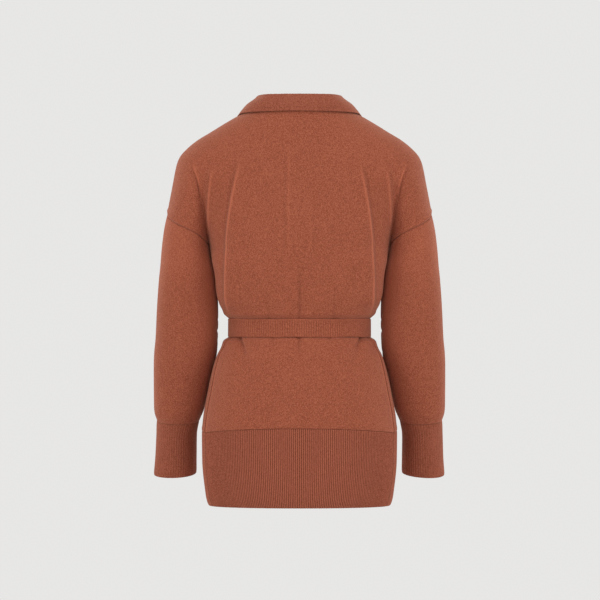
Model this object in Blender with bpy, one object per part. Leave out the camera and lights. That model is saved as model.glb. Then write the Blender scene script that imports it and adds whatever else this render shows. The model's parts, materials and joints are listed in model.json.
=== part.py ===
"""Knit polo shirt with a tied belt, filled out and hollow.

Metres, +Z up. The back faces +Y and the left sleeve lies at +X. The origin is
at the middle of the neck, level with the foot of the collar.
"""

import math

import bmesh
import bpy
import numpy as np
from mathutils import Vector

# Cloth
WALL = 0.0018
SEAM = 0.0003
RIB_HEIGHT = 0.0008
RIB_WALL = 0.0026

# Levels
NECK_Z = 0.012
FRONT_NECK_DROP = 0.067
NECK_HALF = 0.083
UNDERARM_Z = -0.238
SHOULDER_END_Z = -0.1715
HEM_SEAM_Z = -0.547
HEM_SEAM_DROP = 0.0095
SLIT_HALF = 0.0012
SLIT_END_Z = -0.195

# Divisions
SIDE_COLUMNS = 8
CAP_COLUMNS = 8
UNDERARM_ROW = 11
SEAM_RISE = 0.57

# Body rows, top to bottom; the row numbered UNDERARM_ROW meets the underarm
ROW_LEVELS = (
    0.012, -0.004, -0.022, -0.042, -0.064, -0.0875, -0.112, -0.138, -0.164,
    -0.190, -0.214, -0.238, -0.262, -0.290, -0.316, -0.336, -0.349, -0.3565,
    -0.3915, -0.399, -0.420, -0.452, -0.488, -0.520, -0.551,
)

# Depth of the body from the side plane, and how square its sections are
DEPTHS = {
    "z": (0.04, 0.012, -0.020, -0.055, -0.0875, -0.124, -0.160, -0.200, -0.238, -0.290,
          -0.330, -0.349, -0.3565, -0.3915, -0.399, -0.420, -0.452, -0.488, -0.530, -0.560,
          -0.630, -0.672, -0.686),
    "back": (0.055, 0.062, 0.071, 0.081, 0.090, 0.098, 0.104, 0.108, 0.109, 0.108,
             0.105, 0.100, 0.091, 0.091, 0.099, 0.108, 0.115, 0.120, 0.123, 0.124,
             0.122, 0.118, 0.113),
    "front": (0.055, 0.060, 0.067, 0.079, 0.092, 0.107, 0.118, 0.122, 0.120, 0.115,
              0.109, 0.103, 0.094, 0.094, 0.100, 0.105, 0.109, 0.111, 0.112, 0.113,
              0.112, 0.109, 0.105),
    "square": (2.0, 2.0, 2.1, 2.2, 2.3, 2.4, 2.5, 2.5, 2.5, 2.4,
               2.3, 2.3, 2.2, 2.2, 2.2, 2.3, 2.3, 2.3, 2.3, 2.3,
               2.3, 2.3, 2.3),
}

# Outer line of shoulder and upper arm
SHOULDER = {
    "z": (0.030, 0.012, 0.000, -0.007, -0.0175, -0.033, -0.047, -0.061, -0.075, -0.0875,
          -0.124, -0.173, -0.205, -0.238),
    "x": (0.060, 0.083, 0.100, 0.113, 0.131, 0.156, 0.179, 0.196, 0.2085, 0.214,
          0.2215, 0.231, 0.2375, 0.2415),
}

# Crease between body and arm, from the shoulder blade to the underarm
CREASE = {
    "z": (0.030, 0.012, -0.020, -0.047, -0.0875, -0.124, -0.173, -0.205, -0.222, -0.238),
    "x": (0.055, 0.0726, 0.118, 0.157, 0.1864, 0.1752, 0.1645, 0.1610, 0.1585, 0.1555),
    "depth": (0.056, 0.056, 0.056, 0.056, 0.056, 0.056, 0.047, 0.035, 0.023, 0.0),
    "softness": (0.008, 0.008, 0.008, 0.008, 0.008, 0.008, 0.005, 0.003, 0.002, 0.0006),
}

# Body below the underarm: half width, where it is widest, and the side seam
SIDES = {
    "z": (-0.238, -0.250, -0.266, -0.290, -0.327, -0.341, -0.350, -0.3565, -0.3915,
          -0.397, -0.411, -0.422, -0.453, -0.488, -0.530, -0.560, -0.605, -0.663,
          -0.677, -0.686),
    "width": (0.1555, 0.1565, 0.152, 0.147, 0.1425, 0.1354, 0.1305, 0.1213, 0.1213,
              0.132, 0.139, 0.145, 0.154, 0.161, 0.1685, 0.1708, 0.1703, 0.1646,
              0.162, 0.158),
    "widest_y": (-0.005, 0.010, 0.025, 0.025, 0.018, 0.012, 0.006, 0.0, 0.0,
                 0.0, 0.0, 0.0, 0.0, 0.0, 0.0, 0.0, 0.0, 0.0,
                 0.0, 0.0),
    "seam_y": (-0.005, -0.003, 0.0, 0.006, 0.014, 0.018, 0.022, 0.026, 0.030,
               0.032, 0.034, 0.036, 0.040, 0.042, 0.042, 0.042, 0.042, 0.042,
               0.042, 0.042),
}

# Arm sections; each level is tilted by lean, so that the cuff is cut square to the arm
ARM = {
    "z": (-0.0875, -0.124, -0.173, -0.205, -0.238, -0.266, -0.290, -0.341, -0.394,
          -0.4158, -0.4428, -0.474, -0.509, -0.524, -0.536),
    "inner": (0.1864, 0.1752, 0.1645, 0.1610, 0.1555, 0.1485, 0.1446, 0.1426, 0.1437,
              0.1451, 0.1510, 0.1584, 0.1663, 0.1705, 0.1764),
    "centre": (0.164, 0.1715, 0.182, 0.1895, 0.1985, 0.196, 0.1955, 0.19645, 0.198,
               0.1995, 0.203, 0.2065, 0.21045, 0.21225, 0.2130),
    "outer": (0.214, 0.2215, 0.231, 0.2375, 0.2415, 0.2438, 0.2463, 0.2500, 0.2527,
              0.2545, 0.2561, 0.2563, 0.2562, 0.2556, 0.2510),
    "centre_y": (-0.001, -0.002, -0.004, -0.005, -0.005, -0.006, -0.008, -0.013, -0.020,
                 -0.023, -0.028, -0.034, -0.041, -0.0445, -0.0475),
    "half_depth": (0.062, 0.064, 0.062, 0.060, 0.059, 0.057, 0.055, 0.052, 0.051,
                   0.0505, 0.0492, 0.0465, 0.0438, 0.0415, 0.0370),
    "lean": (0.0, 0.0, 0.0, 0.0, 0.0, 0.0, 0.0, 0.04, 0.10,
             0.13, 0.16, 0.19, 0.21, 0.22, 0.22),
}
ARM_SQUARE = 2.2
CUFF_TOP_Z = -0.536
SLEEVE_ROWS = (0.0, 0.045, 0.11, 0.20, 0.30, 0.42, 0.54, 0.65, 0.75, 0.84, 0.92, 0.965, 1.0)

CUFF = {
    "z": (-0.536, -0.560, -0.600, -0.631),
    "centre": (0.2130, 0.2165, 0.2177, 0.2190),
    "half_width": (0.0364, 0.0359, 0.0366, 0.0380),
    "centre_y": (-0.0475, -0.0530, -0.0625, -0.0700),
    "half_depth": (0.0362, 0.0352, 0.0352, 0.0362),
}
CUFF_RIBS = 52
CUFF_LEVELS = (-0.5363, -0.580, -0.631)
CUFF_LEAN = 0.22

HEM_RIBS = 117
HEM_INNER = 39
HEM_LEVELS = (-0.551, -0.630, -0.669, -0.685)

# Largest folds: a line from high to low, its half width and how far it stands out
FOLDS = {
    "side": (1, 1, 1, 1, 1, -1, -1, -1),
    "x_high": (0.101, 0.125, 0.000, 0.1033, 0.000, 0.085, 0.060, 0.060),
    "z_high": (-0.100, -0.130, -0.252, -0.392, -0.392, -0.220, -0.392, -0.240),
    "x_low": (0.127, 0.138, 0.000, 0.0940, 0.000, 0.075, 0.070, 0.030),
    "z_low": (-0.345, -0.345, -0.355, -0.460, -0.480, -0.350, -0.480, -0.350),
    "half_width": (0.030, 0.020, 0.020, 0.016, 0.024, 0.026, 0.024, 0.022),
    "rise": (0.0045, -0.0030, -0.0030, -0.0035, -0.0030, 0.0040, -0.0030, -0.0025),
}

# Collar: share of the way round from centre back to centre front
COLLAR_COLUMNS = 16
COLLAR_END = 0.955
COLLAR_WALL = 0.0020
COLLAR_CLEAR = 0.0034
COLLAR_SHOULDER_CLEAR = 0.0016
COLLAR = {
    "turn": (0.0, 0.25, 0.50, 0.62, 0.75, 0.88, 0.955),
    "fold_x": (0.000, 0.052, 0.073, 0.074, 0.066, 0.045, 0.030),
    "fold_y": (0.056, 0.043, 0.000, -0.026, -0.052, -0.078, -0.091),
    "fold_z": (0.0315, 0.0315, 0.0300, 0.025, 0.011, -0.012, -0.028),
    "edge_angle": (0.0, 54.0, 90.0, 108.0, 120.0, 132.6, 143.0),
    "edge_z": (0.003, 0.002, 0.000, -0.012, -0.036, -0.074, -0.104),
}

PLACKET_WIDTH = 0.028
PLACKET_ROWS = 7
BUTTON_RADIUS = 0.0058
BUTTON_DEPTH = 0.0022
BUTTON_LEVELS = (-0.080, -0.122, -0.164)

BELT_TOP_Z = -0.3578
BELT_FOOT_Z = -0.3902
BELT_WALL = 0.0030
BELT_GAP = 0.0004
KNOT_SIZE = (0.040, 0.017, 0.038)
TAIL_WIDTH = 0.032
TAIL_WALL = 0.0028
TAIL_FOOT_Z = (-0.640, -0.612)
TAIL_SPREAD = (0.030, -0.034)

COLOURS = {
    "jersey": (0.329, 0.089, 0.049, 1.0),
    "rib": (0.270, 0.075, 0.041, 1.0),
    "button": (0.180, 0.060, 0.036, 1.0),
}

TINY = 1e-9


def smooth(table, column, z):
    """Monotone cubic through a table's rows, so that nothing bulges between two of them."""
    key = "z" if "z" in table else "turn"
    order = np.argsort(table[key])
    h = np.array(table[key], float)[order]
    v = np.array(table[column], float)[order]
    step = np.diff(h)
    slope = np.diff(v) / step
    tangent = np.zeros(len(h))
    same_way = slope[:-1] * slope[1:] > 0
    mean = np.where(same_way, 2 * slope[:-1] * slope[1:] / (slope[:-1] + slope[1:] + TINY), 0)
    tangent[1:-1] = np.where(same_way, mean, 0)
    tangent[0] = slope[0]
    tangent[-1] = slope[-1]
    z = np.clip(z, h[0], h[-1])
    i = np.clip(np.searchsorted(h, z) - 1, 0, len(h) - 2)
    t = (z - h[i]) / step[i]
    return (
        (2 * t**3 - 3 * t**2 + 1) * v[i]
        + (t**3 - 2 * t**2 + t) * step[i] * tangent[i]
        + (3 * t**2 - 2 * t**3) * v[i + 1]
        + (t**3 - t**2) * step[i] * tangent[i + 1]
    )


def ramp(value, start, end):
    t = np.clip((value - start) / (end - start), 0.0, 1.0)
    return t * t * (3 - 2 * t)


def quarter(count, width, height, power):
    """Points of a quarter superellipse, from its crown to its widest point."""
    angle = np.linspace(0.0, math.pi / 2, count)
    return np.stack(
        (width * np.sin(angle) ** (2 / power), height * np.cos(angle) ** (2 / power)), axis=1
    )


def arc_lengths(line):
    return np.concatenate(([0.0], np.cumsum(np.linalg.norm(np.diff(line, axis=0), axis=1))))


def along(line, share):
    """Point, or points, of a line at a share of its length."""
    length = arc_lengths(line)
    want = np.asarray(share) * length[-1]
    return np.stack([np.interp(want, length, line[:, k]) for k in range(line.shape[1])], axis=-1)


def soften(line, place, reach):
    """Rounds a line off around one of its points."""
    length = arc_lengths(line)
    even = np.linspace(0.0, length[-1], 500)
    line = np.stack([np.interp(even, length, line[:, k]) for k in range(2)], axis=1)
    spacing = even[1] or TINY
    spread = max(1, int(3 * reach / spacing))
    kernel = np.exp(-0.5 * (np.arange(-spread, spread + 1) * spacing / reach) ** 2)
    kernel /= kernel.sum()
    padded = np.pad(line, ((spread, spread), (0, 0)), mode="edge")
    blurred = np.stack([np.convolve(padded[:, k], kernel, mode="valid") for k in range(2)], axis=1)
    share = np.exp(-(((even - place) / (3 * reach)) ** 4))[:, None]
    return line * (1 - share) + blurred * share


def arm_height(x, z, start):
    """Distance of the arm's surface from its middle plane, for an arm that starts at x = start."""
    centre = smooth(ARM, "centre", z)
    outer = smooth(SHOULDER, "x", z) - centre
    inner = max(start, TINY)
    half = np.where(x < centre, inner, outer)
    inside = np.clip(1 - (np.abs(x - centre) / half) ** ARM_SQUARE, 0.0, None)
    return smooth(ARM, "half_depth", z) * inside ** (1 / ARM_SQUARE)


OUTLINES = {}
NECK_LEVELS = {}
SHARES = np.linspace(0.0, 1.0, 120)


def upper_outline(z, side):
    """Section above the underarm: body part from the centre to the crease, then the cap."""
    ridge_x = smooth(SHOULDER, "x", z)
    ridge_y = smooth(ARM, "centre_y", z)
    power = smooth(DEPTHS, "square", z)
    height = smooth(DEPTHS, "back" if side > 0 else "front", z) - side * ridge_y
    round_line = quarter(500, ridge_x, height, power)
    crease_x = smooth(CREASE, "x", z)
    round_crease = np.interp(crease_x, round_line[:, 0], arc_lengths(round_line))
    share = ramp(-z, 0.0875, 0.150)
    if share > 0:
        depth = smooth(CREASE, "depth", z)
        body_width = crease_x / (1 - (depth / height) ** power) ** (1 / power)
        t = np.linspace(0.0, 1.0, 250)
        body_x = crease_x * np.sin(t * math.pi / 2)
        body_y = height * (1 - (body_x / body_width) ** power) ** (1 / power)
        arm_depth = smooth(ARM, "half_depth", z)
        start = (smooth(ARM, "centre", z) - crease_x) / (
            1 - (depth / arm_depth) ** ARM_SQUARE
        ) ** (1 / ARM_SQUARE)
        arm_x = crease_x + (ridge_x - crease_x) * np.sin(t * math.pi / 2)
        arm_y = arm_height(arm_x, z, start)
        arm_y[-1] = 0.0
        folded = np.concatenate(
            (np.stack((body_x, body_y), axis=1), np.stack((arm_x, arm_y), axis=1)[1:])
        )
        place = arc_lengths(folded)[249]
        folded = soften(folded, place, smooth(CREASE, "softness", z))
        even = arc_lengths(folded)
        split = np.interp(place, even, np.linspace(0, 1, len(even)))
        first = along(folded, split * SHARES)
        second = along(folded, split + (1 - split) * SHARES)
    else:
        first = second = None
    whole = arc_lengths(round_line)[-1]
    plain_first = along(round_line, round_crease / whole * SHARES)
    plain_second = along(round_line, (round_crease + (whole - round_crease) * SHARES) / whole)
    if first is None:
        first, second = plain_first, plain_second
    else:
        first = plain_first * (1 - share) + first * share
        second = plain_second * (1 - share) + second * share
    for part in (first, second):
        part[:, 1] = ridge_y + side * part[:, 1]
    return first, second


def arm_limit(y, z):
    """How far out the body may reach beside the sleeve."""
    clear = SEAM + 0.0035 * ramp(-z, -UNDERARM_Z, -UNDERARM_Z + 0.03)
    centre = smooth(ARM, "centre", z)
    reach = centre - smooth(ARM, "inner", z) + clear
    middle = smooth(ARM, "centre_y", z)
    depth = smooth(ARM, "half_depth", z) + clear
    inside = np.clip(1 - (np.abs(y - middle) / depth) ** ARM_SQUARE, 0.0, None)
    return centre - reach * inside ** (1 / ARM_SQUARE)


def lower_outline(z, side):
    """Section below the underarm, from the centre to the side seam."""
    width = smooth(SIDES, "width", z)
    widest_y = smooth(SIDES, "widest_y", z)
    power = smooth(DEPTHS, "square", z)
    back = quarter(400, width, smooth(DEPTHS, "back", z) - widest_y, power)
    front = quarter(400, width, smooth(DEPTHS, "front", z) + widest_y, power)[::-1]
    line = np.concatenate(
        (back + (0.0, widest_y), (front * (1, -1) + (0.0, widest_y))[1:])
    )
    if z > CUFF_TOP_Z:
        limit = arm_limit(line[:, 1], z)
        gap = (line[:, 0] - limit) / 0.004
        share = ramp(-z, -UNDERARM_Z, -UNDERARM_Z + 0.012)
        line[:, 0] -= 0.004 * np.logaddexp(0.0, gap) * (gap > -8) * share
        line[:, 0] = np.maximum(line[:, 0], 0.0)
    seam_y = smooth(SIDES, "seam_y", z)
    length = arc_lengths(line)
    cut = np.interp(-seam_y, -line[:, 1], length)
    whole = length[-1]
    if side > 0:
        shares = np.linspace(0.0, cut - SEAM / 2, 160) / whole
    else:
        shares = np.linspace(whole, cut + SEAM / 2, 160) / whole
    return along(line, shares)


def outline(z, side):
    key = (round(float(z), 6), side)
    if key not in OUTLINES:
        if z > UNDERARM_Z + 1e-6:
            OUTLINES[key] = upper_outline(z, side)
        else:
            OUTLINES[key] = (lower_outline(z, side), None)
    return OUTLINES[key]


def section_point(z, place, side):
    """Point at level z; place runs 0 to 1 to the crease or side seam, and 1 to 2 over the cap."""
    first, second = outline(z, side)
    if place <= 1 or second is None:
        return along(first, min(place, 1.0))
    return along(second, place - 1.0)


def seam_level(place):
    """Height of the armhole seam; place runs 0 at the underarm to 1 at the shoulder's end."""
    return UNDERARM_Z + (SHOULDER_END_Z - UNDERARM_Z) * place**SEAM_RISE


def neck_level(place, side):
    """Height of the neck edge: level at the back, a half oval cut into the front."""
    if side > 0:
        return NECK_Z
    if place not in NECK_LEVELS:
        levels = NECK_Z - FRONT_NECK_DROP * np.linspace(1.0, 0.0, 25)
        oval = NECK_HALF * np.sqrt(1 - ((NECK_Z - levels) / FRONT_NECK_DROP) ** 2)
        beyond = [section_point(z, place, side)[0] - x for z, x in zip(levels, oval)]
        NECK_LEVELS[place] = float(np.interp(0.0, -np.array(beyond), levels))
    return NECK_LEVELS[place]


def body_level(row, place, side):
    """Height of a body row at a place; above the underarm the rows fan out over the cap."""
    if row > UNDERARM_ROW:
        level = interpolate_levels(ROW_LEVELS, row)
        drop = HEM_SEAM_Z - HEM_SEAM_DROP * min(place, 1.0) ** 2 - ROW_LEVELS[-1]
        return level + drop * ramp(-level, 0.45, 0.551)
    down = (NECK_Z - interpolate_levels(ROW_LEVELS, row)) / (NECK_Z - UNDERARM_Z)
    end = UNDERARM_Z if place <= 1 else seam_level(place - 1.0) + SEAM / 2
    top = neck_level(place, side)
    return top + (end - top) * down


def interpolate_levels(levels, row):
    return float(np.interp(row, np.arange(len(levels)), levels))


def fold_rise(x, z, side):
    """How far the folds move the cloth out at a point."""
    rise = 0.0
    for n, fold_side in enumerate(FOLDS["side"]):
        if fold_side != side:
            continue
        high, low = FOLDS["z_high"][n], FOLDS["z_low"][n]
        t = (high - z) / (high - low)
        middle = FOLDS["x_high"][n] + (FOLDS["x_low"][n] - FOLDS["x_high"][n]) * t
        across = (abs(x) - middle) / FOLDS["half_width"][n]
        length = ramp(t, 0.0, 0.5) * (1 - ramp(t, 0.9, 1.0))
        if low < -0.37:
            length = ramp(t, 0.0, 0.08) * (1 - ramp(t, 0.3, 1.0))
        rise += FOLDS["rise"][n] * length * math.exp(-2 * across * across)
    return rise


def body_point(row, place, side):
    """Outer point of a body panel."""
    z = body_level(row, place, side)
    x, y = section_point(z, place, side)
    if side < 0 and place == 0 and z > SLIT_END_Z:
        x = SLIT_HALF
    flat = 1 - ramp(place, 0.8, 1.0) if z <= UNDERARM_Z else 1 - ramp(place, 1.0, 1.4)
    return np.array((x, y + side * flat * fold_rise(x, z, side), z))


def inward(row, place, side, last_row):
    """Direction into the garment at a point of a body panel."""
    if row == UNDERARM_ROW and abs(place - 1) < TINY:
        return np.array((0.0, 0.0, 1.0))
    last_place = 2.0 if place > 1 or row < UNDERARM_ROW else 1.0
    step = 0.01 if place == last_place else 1 / SIDE_COLUMNS
    here = body_point(row, place, side)
    up = body_point(max(row - 0.1, 0), place, side)
    down = body_point(min(row + 0.1, UNDERARM_ROW if place > 1 else last_row), place, side)
    total = np.zeros(3)
    if place > 0:
        total += unit(np.cross(down - up, here - body_point(row, place - step, side)))
    if place < last_place:
        total += unit(np.cross(down - up, body_point(row, place + step, side) - here))
    return unit(total * side)


def unit(vector):
    return vector / np.linalg.norm(vector)


def thicken(bm, directions, wall):
    """Gives an open sheet its wall: its faces are copied inwards and joined at the edges."""
    faces = bm.faces[:]
    bm.verts.index_update()
    order = {v: v.index for v in bm.verts}
    copies = bmesh.ops.duplicate(bm, geom=bm.verts[:] + bm.edges[:] + faces)
    inner_of = {}
    for old, new in copies["vert_map"].items():
        if isinstance(old, bmesh.types.BMVert) and old in order:
            inner_of[old] = new
    for old, new in inner_of.items():
        new.co = old.co + directions[order[old]] * wall
    rim = [e for e in bm.edges if e.is_boundary and e.verts[0] in inner_of]
    for edge in rim:
        a, b = edge.verts
        bm.faces.new((a, b, inner_of[b], inner_of[a]))
    bmesh.ops.recalc_face_normals(bm, faces=bm.faces)


def grid(columns, rows, place_vertex, keep=lambda column, row: True):
    """Sheet of columns by rows; place_vertex gives each vertex its point and inward direction."""
    bm = bmesh.new()
    bmesh.ops.create_grid(bm, x_segments=columns, y_segments=rows, size=1.0)
    spot = {}
    for v in bm.verts:
        spot[v] = (round((v.co.x + 1) / 2 * columns), round((1 - v.co.y) / 2 * rows))
    waste = []
    for face in bm.faces:
        column = min(spot[v][0] for v in face.verts)
        row = min(spot[v][1] for v in face.verts)
        if not keep(column, row):
            waste.append(face)
    bmesh.ops.delete(bm, geom=waste, context="FACES")
    directions = []
    for v in bm.verts:
        point, direction = place_vertex(*spot[v])
        v.co = point
        directions.append(Vector(direction))
    return bm, directions


def material(name):
    found = bpy.data.materials.get(name)
    if found:
        return found
    made = bpy.data.materials.new(name)
    made.use_nodes = True
    shader = made.node_tree.nodes["Principled BSDF"]
    shader.inputs["Base Color"].default_value = COLOURS[name]
    shader.inputs["Roughness"].default_value = 0.35 if name == "button" else 0.9
    return made


def add_piece(bm, name, material_name, collection):
    mesh = bpy.data.meshes.new(name)
    bm.to_mesh(mesh)
    bm.free()
    piece = bpy.data.objects.new(name, mesh)
    piece.data.materials.append(material(material_name))
    collection.objects.link(piece)
    return piece


def mirrored(bm):
    """Adds the other half of a half that is open at x = 0."""
    copies = bmesh.ops.duplicate(bm, geom=bm.verts[:] + bm.edges[:] + bm.faces[:])
    new_verts = [g for g in copies["geom"] if isinstance(g, bmesh.types.BMVert)]
    new_faces = [g for g in copies["geom"] if isinstance(g, bmesh.types.BMFace)]
    for v in new_verts:
        v.co.x = -v.co.x
    bmesh.ops.reverse_faces(bm, faces=new_faces)
    bmesh.ops.remove_doubles(bm, verts=bm.verts, dist=1e-6)


def make_panel(name, side, collection):
    """Front or back panel, from the neck to the hem rib."""
    rows = len(ROW_LEVELS) - 1
    columns = SIDE_COLUMNS + CAP_COLUMNS

    def place_vertex(column, row):
        if column <= SIDE_COLUMNS:
            place = column / SIDE_COLUMNS
        else:
            place = 1 + (column - SIDE_COLUMNS) / CAP_COLUMNS
        point = body_point(row, place, side)
        return point, inward(row, place, side, rows)

    bm, directions = grid(
        columns, rows, place_vertex,
        keep=lambda column, row: column < SIDE_COLUMNS or row < UNDERARM_ROW,
    )
    for v, direction in zip(bm.verts, directions):
        if abs(v.co.x) < TINY:
            direction.x = 0.0
            direction.normalize()
    for v in bm.verts:
        ridge = smooth(ARM, "centre_y", v.co.z)
        if v.co.z > UNDERARM_Z and abs(v.co.y - ridge) < 1e-5:
            v.co.y += side * SEAM / 2
    layer = bm.verts.layers.float_vector.new("inward")
    for v, direction in zip(bm.verts, directions):
        v[layer] = direction
    mirrored(bm)
    turned = []
    for v in bm.verts:
        direction = v[layer].copy()
        if v.co.x < 0:
            direction.x = -direction.x
        turned.append(direction)
    thicken(bm, turned, WALL)
    return add_piece(bm, name, "jersey", collection)


def ellipse_point(z, turn):
    """Arm surface; turn runs 0 at the inner side, 1 at the outer side over the back, then to 2."""
    centre = smooth(ARM, "centre", z)
    inner = centre - smooth(ARM, "inner", z)
    outer = smooth(ARM, "outer", z) - centre
    depth = smooth(ARM, "half_depth", z)
    angle = np.linspace(0.0, math.pi, 160)
    c = np.cos(angle)
    s = np.sin(angle)
    power = 2 / ARM_SQUARE
    x = centre - np.where(c > 0, inner, outer) * np.sign(c) * np.abs(c) ** power
    line = np.stack((x, depth * np.abs(s) ** power), axis=1)
    share = turn if turn <= 1 else 2 - turn
    px, py = along(line, share)
    py = py if turn <= 1 else -py
    middle = smooth(ARM, "centre_y", z)
    return np.array((px, middle + py, z - smooth(ARM, "lean", z) * py))


def sleeve_point(v, turn):
    """Outer point of the sleeve; v runs 0 at the armhole to 1 at the cuff."""
    share = turn if turn <= 1 else 2 - turn
    side = 1 if turn <= 1 else -1
    start = seam_level(share) - SEAM / 2
    z = start + (CUFF_TOP_Z - start) * v
    point = ellipse_point(z, turn)
    blend = np.clip(1 - v / 0.22, 0.0, 1.0) ** 2
    if blend > 0:
        level = max(start, UNDERARM_Z + 2e-6)
        x, y = section_point(level, 1 + share, side)
        first = ellipse_point(start, turn)
        point = point + blend * (np.array((x, y, start)) - first)
    return point


def sleeve_inward(v, turn):
    """Direction into the sleeve; at the armhole it is the body's, so that the two walls meet flush."""
    if v == 0 and turn % 2 > 0:
        share = turn if turn <= 1 else 2 - turn
        return inward(UNDERARM_ROW, 1 + share, 1 if turn <= 1 else -1, UNDERARM_ROW)
    step = 0.02
    around = sleeve_point(v, (turn + step) % 2) - sleeve_point(v, (turn - step) % 2)
    down = sleeve_point(min(v + 0.01, 1.0), turn) - sleeve_point(max(v - 0.01, 0.0), turn)
    normal = np.cross(down, around)
    if v == 0 and turn % 2 == 0:
        normal = np.array((1.0, 0.0, 0.0))
    return normal / np.linalg.norm(normal)


def make_tube(name, columns, rows, point, direction, wall, material_name, collection, flip):
    """Tube from a sheet whose first and last columns are one."""

    def place_vertex(column, row):
        return point(column % columns, row), direction(column % columns, row)

    bm, directions = grid(columns, rows, place_vertex)
    layer = bm.verts.layers.float_vector.new("inward")
    for v, d in zip(bm.verts, directions):
        v[layer] = d
    bmesh.ops.remove_doubles(bm, verts=bm.verts, dist=1e-6)
    if flip:
        for v in bm.verts:
            v.co.x = -v.co.x
            d = v[layer].copy()
            d.x = -d.x
            v[layer] = d
        bmesh.ops.reverse_faces(bm, faces=bm.faces)
    thicken(bm, [v[layer].copy() for v in bm.verts], wall)
    return add_piece(bm, name, material_name, collection)


def make_sleeve(name, flip, collection):
    columns = 2 * CAP_COLUMNS
    rows = len(SLEEVE_ROWS) - 1
    return make_tube(
        name, columns, rows,
        lambda c, r: sleeve_point(SLEEVE_ROWS[r], c / CAP_COLUMNS),
        lambda c, r: sleeve_inward(SLEEVE_ROWS[r], c / CAP_COLUMNS),
        WALL, "jersey", collection, flip,
    )


def rib_shell(outer_point, outer_count, inner_point, inner_count, levels, closed):
    """Ribbed wall: a fine outer sheet over a plain inner one, with their edges joined."""
    bm = bmesh.new()
    sheets = []
    for count, point in ((outer_count, outer_point), (inner_count, inner_point)):
        made = bmesh.ops.create_grid(bm, x_segments=count, y_segments=levels, size=1.0)
        rows = [[None] * (count + 1) for _ in range(levels + 1)]
        for v in made["verts"]:
            column = round((v.co.x + 1) / 2 * count)
            row = round((1 - v.co.y) / 2 * levels)
            rows[row][column] = v
        for row, line in enumerate(rows):
            for column, v in enumerate(line):
                v.co = point(column % count if closed else column, row)
        sheets.append(rows)
    outer, inner = sheets
    ratio = outer_count // inner_count
    for row in (0, levels):
        for k in range(inner_count):
            near, far = inner[row][k], inner[row][k + 1]
            for j in range(ratio):
                a, b = outer[row][k * ratio + j], outer[row][k * ratio + j + 1]
                bm.faces.new((a, b, near if j < ratio // 2 else far))
            bm.faces.new((outer[row][k * ratio + ratio // 2], near, far))
    if not closed:
        for column in (0, -1):
            for row in range(levels):
                a, b = outer[row][column], outer[row + 1][column]
                bm.faces.new((a, b, inner[row + 1][column], inner[row][column]))
    bmesh.ops.remove_doubles(bm, verts=bm.verts, dist=1e-7)
    bmesh.ops.recalc_face_normals(bm, faces=bm.faces)
    return bm


def hem_level(row, share):
    if row == 0:
        return HEM_SEAM_Z - HEM_SEAM_DROP * share**2 - SEAM
    return HEM_LEVELS[row]


def hem_point(row, turn, side, depth):
    """Point of the hem rib; turn runs -1 to 1 from side seam to side seam, depth goes inwards."""
    share = abs(turn)
    z = hem_level(row, share)
    line, _ = outline(z, side)
    x, y = along(line, share)
    ahead = along(line, min(share + 0.004, 1.0)) - along(line, max(share - 0.004, 0.0))
    if share < 0.004:
        ahead = np.array((1.0, 0.0))
    normal = np.array((ahead[1], -ahead[0])) * (1 if side > 0 else -1)
    normal /= np.linalg.norm(normal)
    x, y = np.array((x, y)) + normal * depth
    return (x if turn >= 0 else -x, y, z)


def make_hem(name, side, collection):
    outer_count = 2 * HEM_RIBS
    levels = len(HEM_LEVELS) - 1
    bm = rib_shell(
        lambda c, r: hem_point(r, 2 * c / outer_count - 1, side, RIB_HEIGHT * ((c + 1) % 2)),
        outer_count,
        lambda c, r: hem_point(r, 2 * c / HEM_INNER - 1, side, RIB_WALL),
        HEM_INNER, levels, False,
    )
    return add_piece(bm, name, "rib", collection)


def cuff_point(z, turn, depth):
    angle = 2 * math.pi * turn
    centre = smooth(CUFF, "centre", z)
    middle = smooth(CUFF, "centre_y", z)
    x = (smooth(CUFF, "half_width", z) - depth) * math.cos(angle)
    y = (smooth(CUFF, "half_depth", z) - depth) * math.sin(angle)
    return (centre + x, middle + y, z - CUFF_LEAN * y)


def make_cuff(name, flip, collection):
    outer_count = 2 * CUFF_RIBS
    inner_count = CUFF_RIBS // 2
    bm = rib_shell(
        lambda c, r: cuff_point(CUFF_LEVELS[r], c / outer_count, RIB_HEIGHT * (c % 2)),
        outer_count,
        lambda c, r: cuff_point(CUFF_LEVELS[r], c / inner_count, RIB_WALL),
        inner_count, len(CUFF_LEVELS) - 1, True,
    )
    if flip:
        for v in bm.verts:
            v.co.x = -v.co.x
        bmesh.ops.reverse_faces(bm, faces=bm.faces)
    return add_piece(bm, name, "rib", collection)


def surface_y(x, z, side):
    """Outer surface of the body at x and z, for what lies on it."""
    first, second = outline(z, side)
    line = first if second is None else np.concatenate((first, second[1:]))
    return float(np.interp(x, line[:, 0], line[:, 1])) + side * fold_rise(x, z, side)


def neckline_point(turn):
    """Neck edge; turn runs 0 at the centre back to 1 at the centre front."""
    if turn <= 0.5:
        place, side = 4 * turn, 1
    else:
        place, side = 4 * (1 - turn), -1
    z = neck_level(place, side)
    x, y = section_point(z, place, side)
    return np.array((x, y, z))


def collar_edge(turn):
    """Foot of the collar's fall, lying just clear of the shoulders and the front."""
    angle = math.radians(smooth(COLLAR, "edge_angle", turn))
    z = smooth(COLLAR, "edge_z", turn)
    side = 1 if turn <= 0.5 else -1
    line = np.concatenate(outline(z, side))
    line_angle = np.arctan2(line[:, 0], side * line[:, 1])
    want = angle if side > 0 else math.pi - angle
    clear = COLLAR_CLEAR + COLLAR_SHOULDER_CLEAR * math.sin(angle) ** 2
    radius = np.interp(want, line_angle, np.hypot(line[:, 0], line[:, 1])) + clear
    return np.array((radius * math.sin(want), side * radius * math.cos(want), z))


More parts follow.
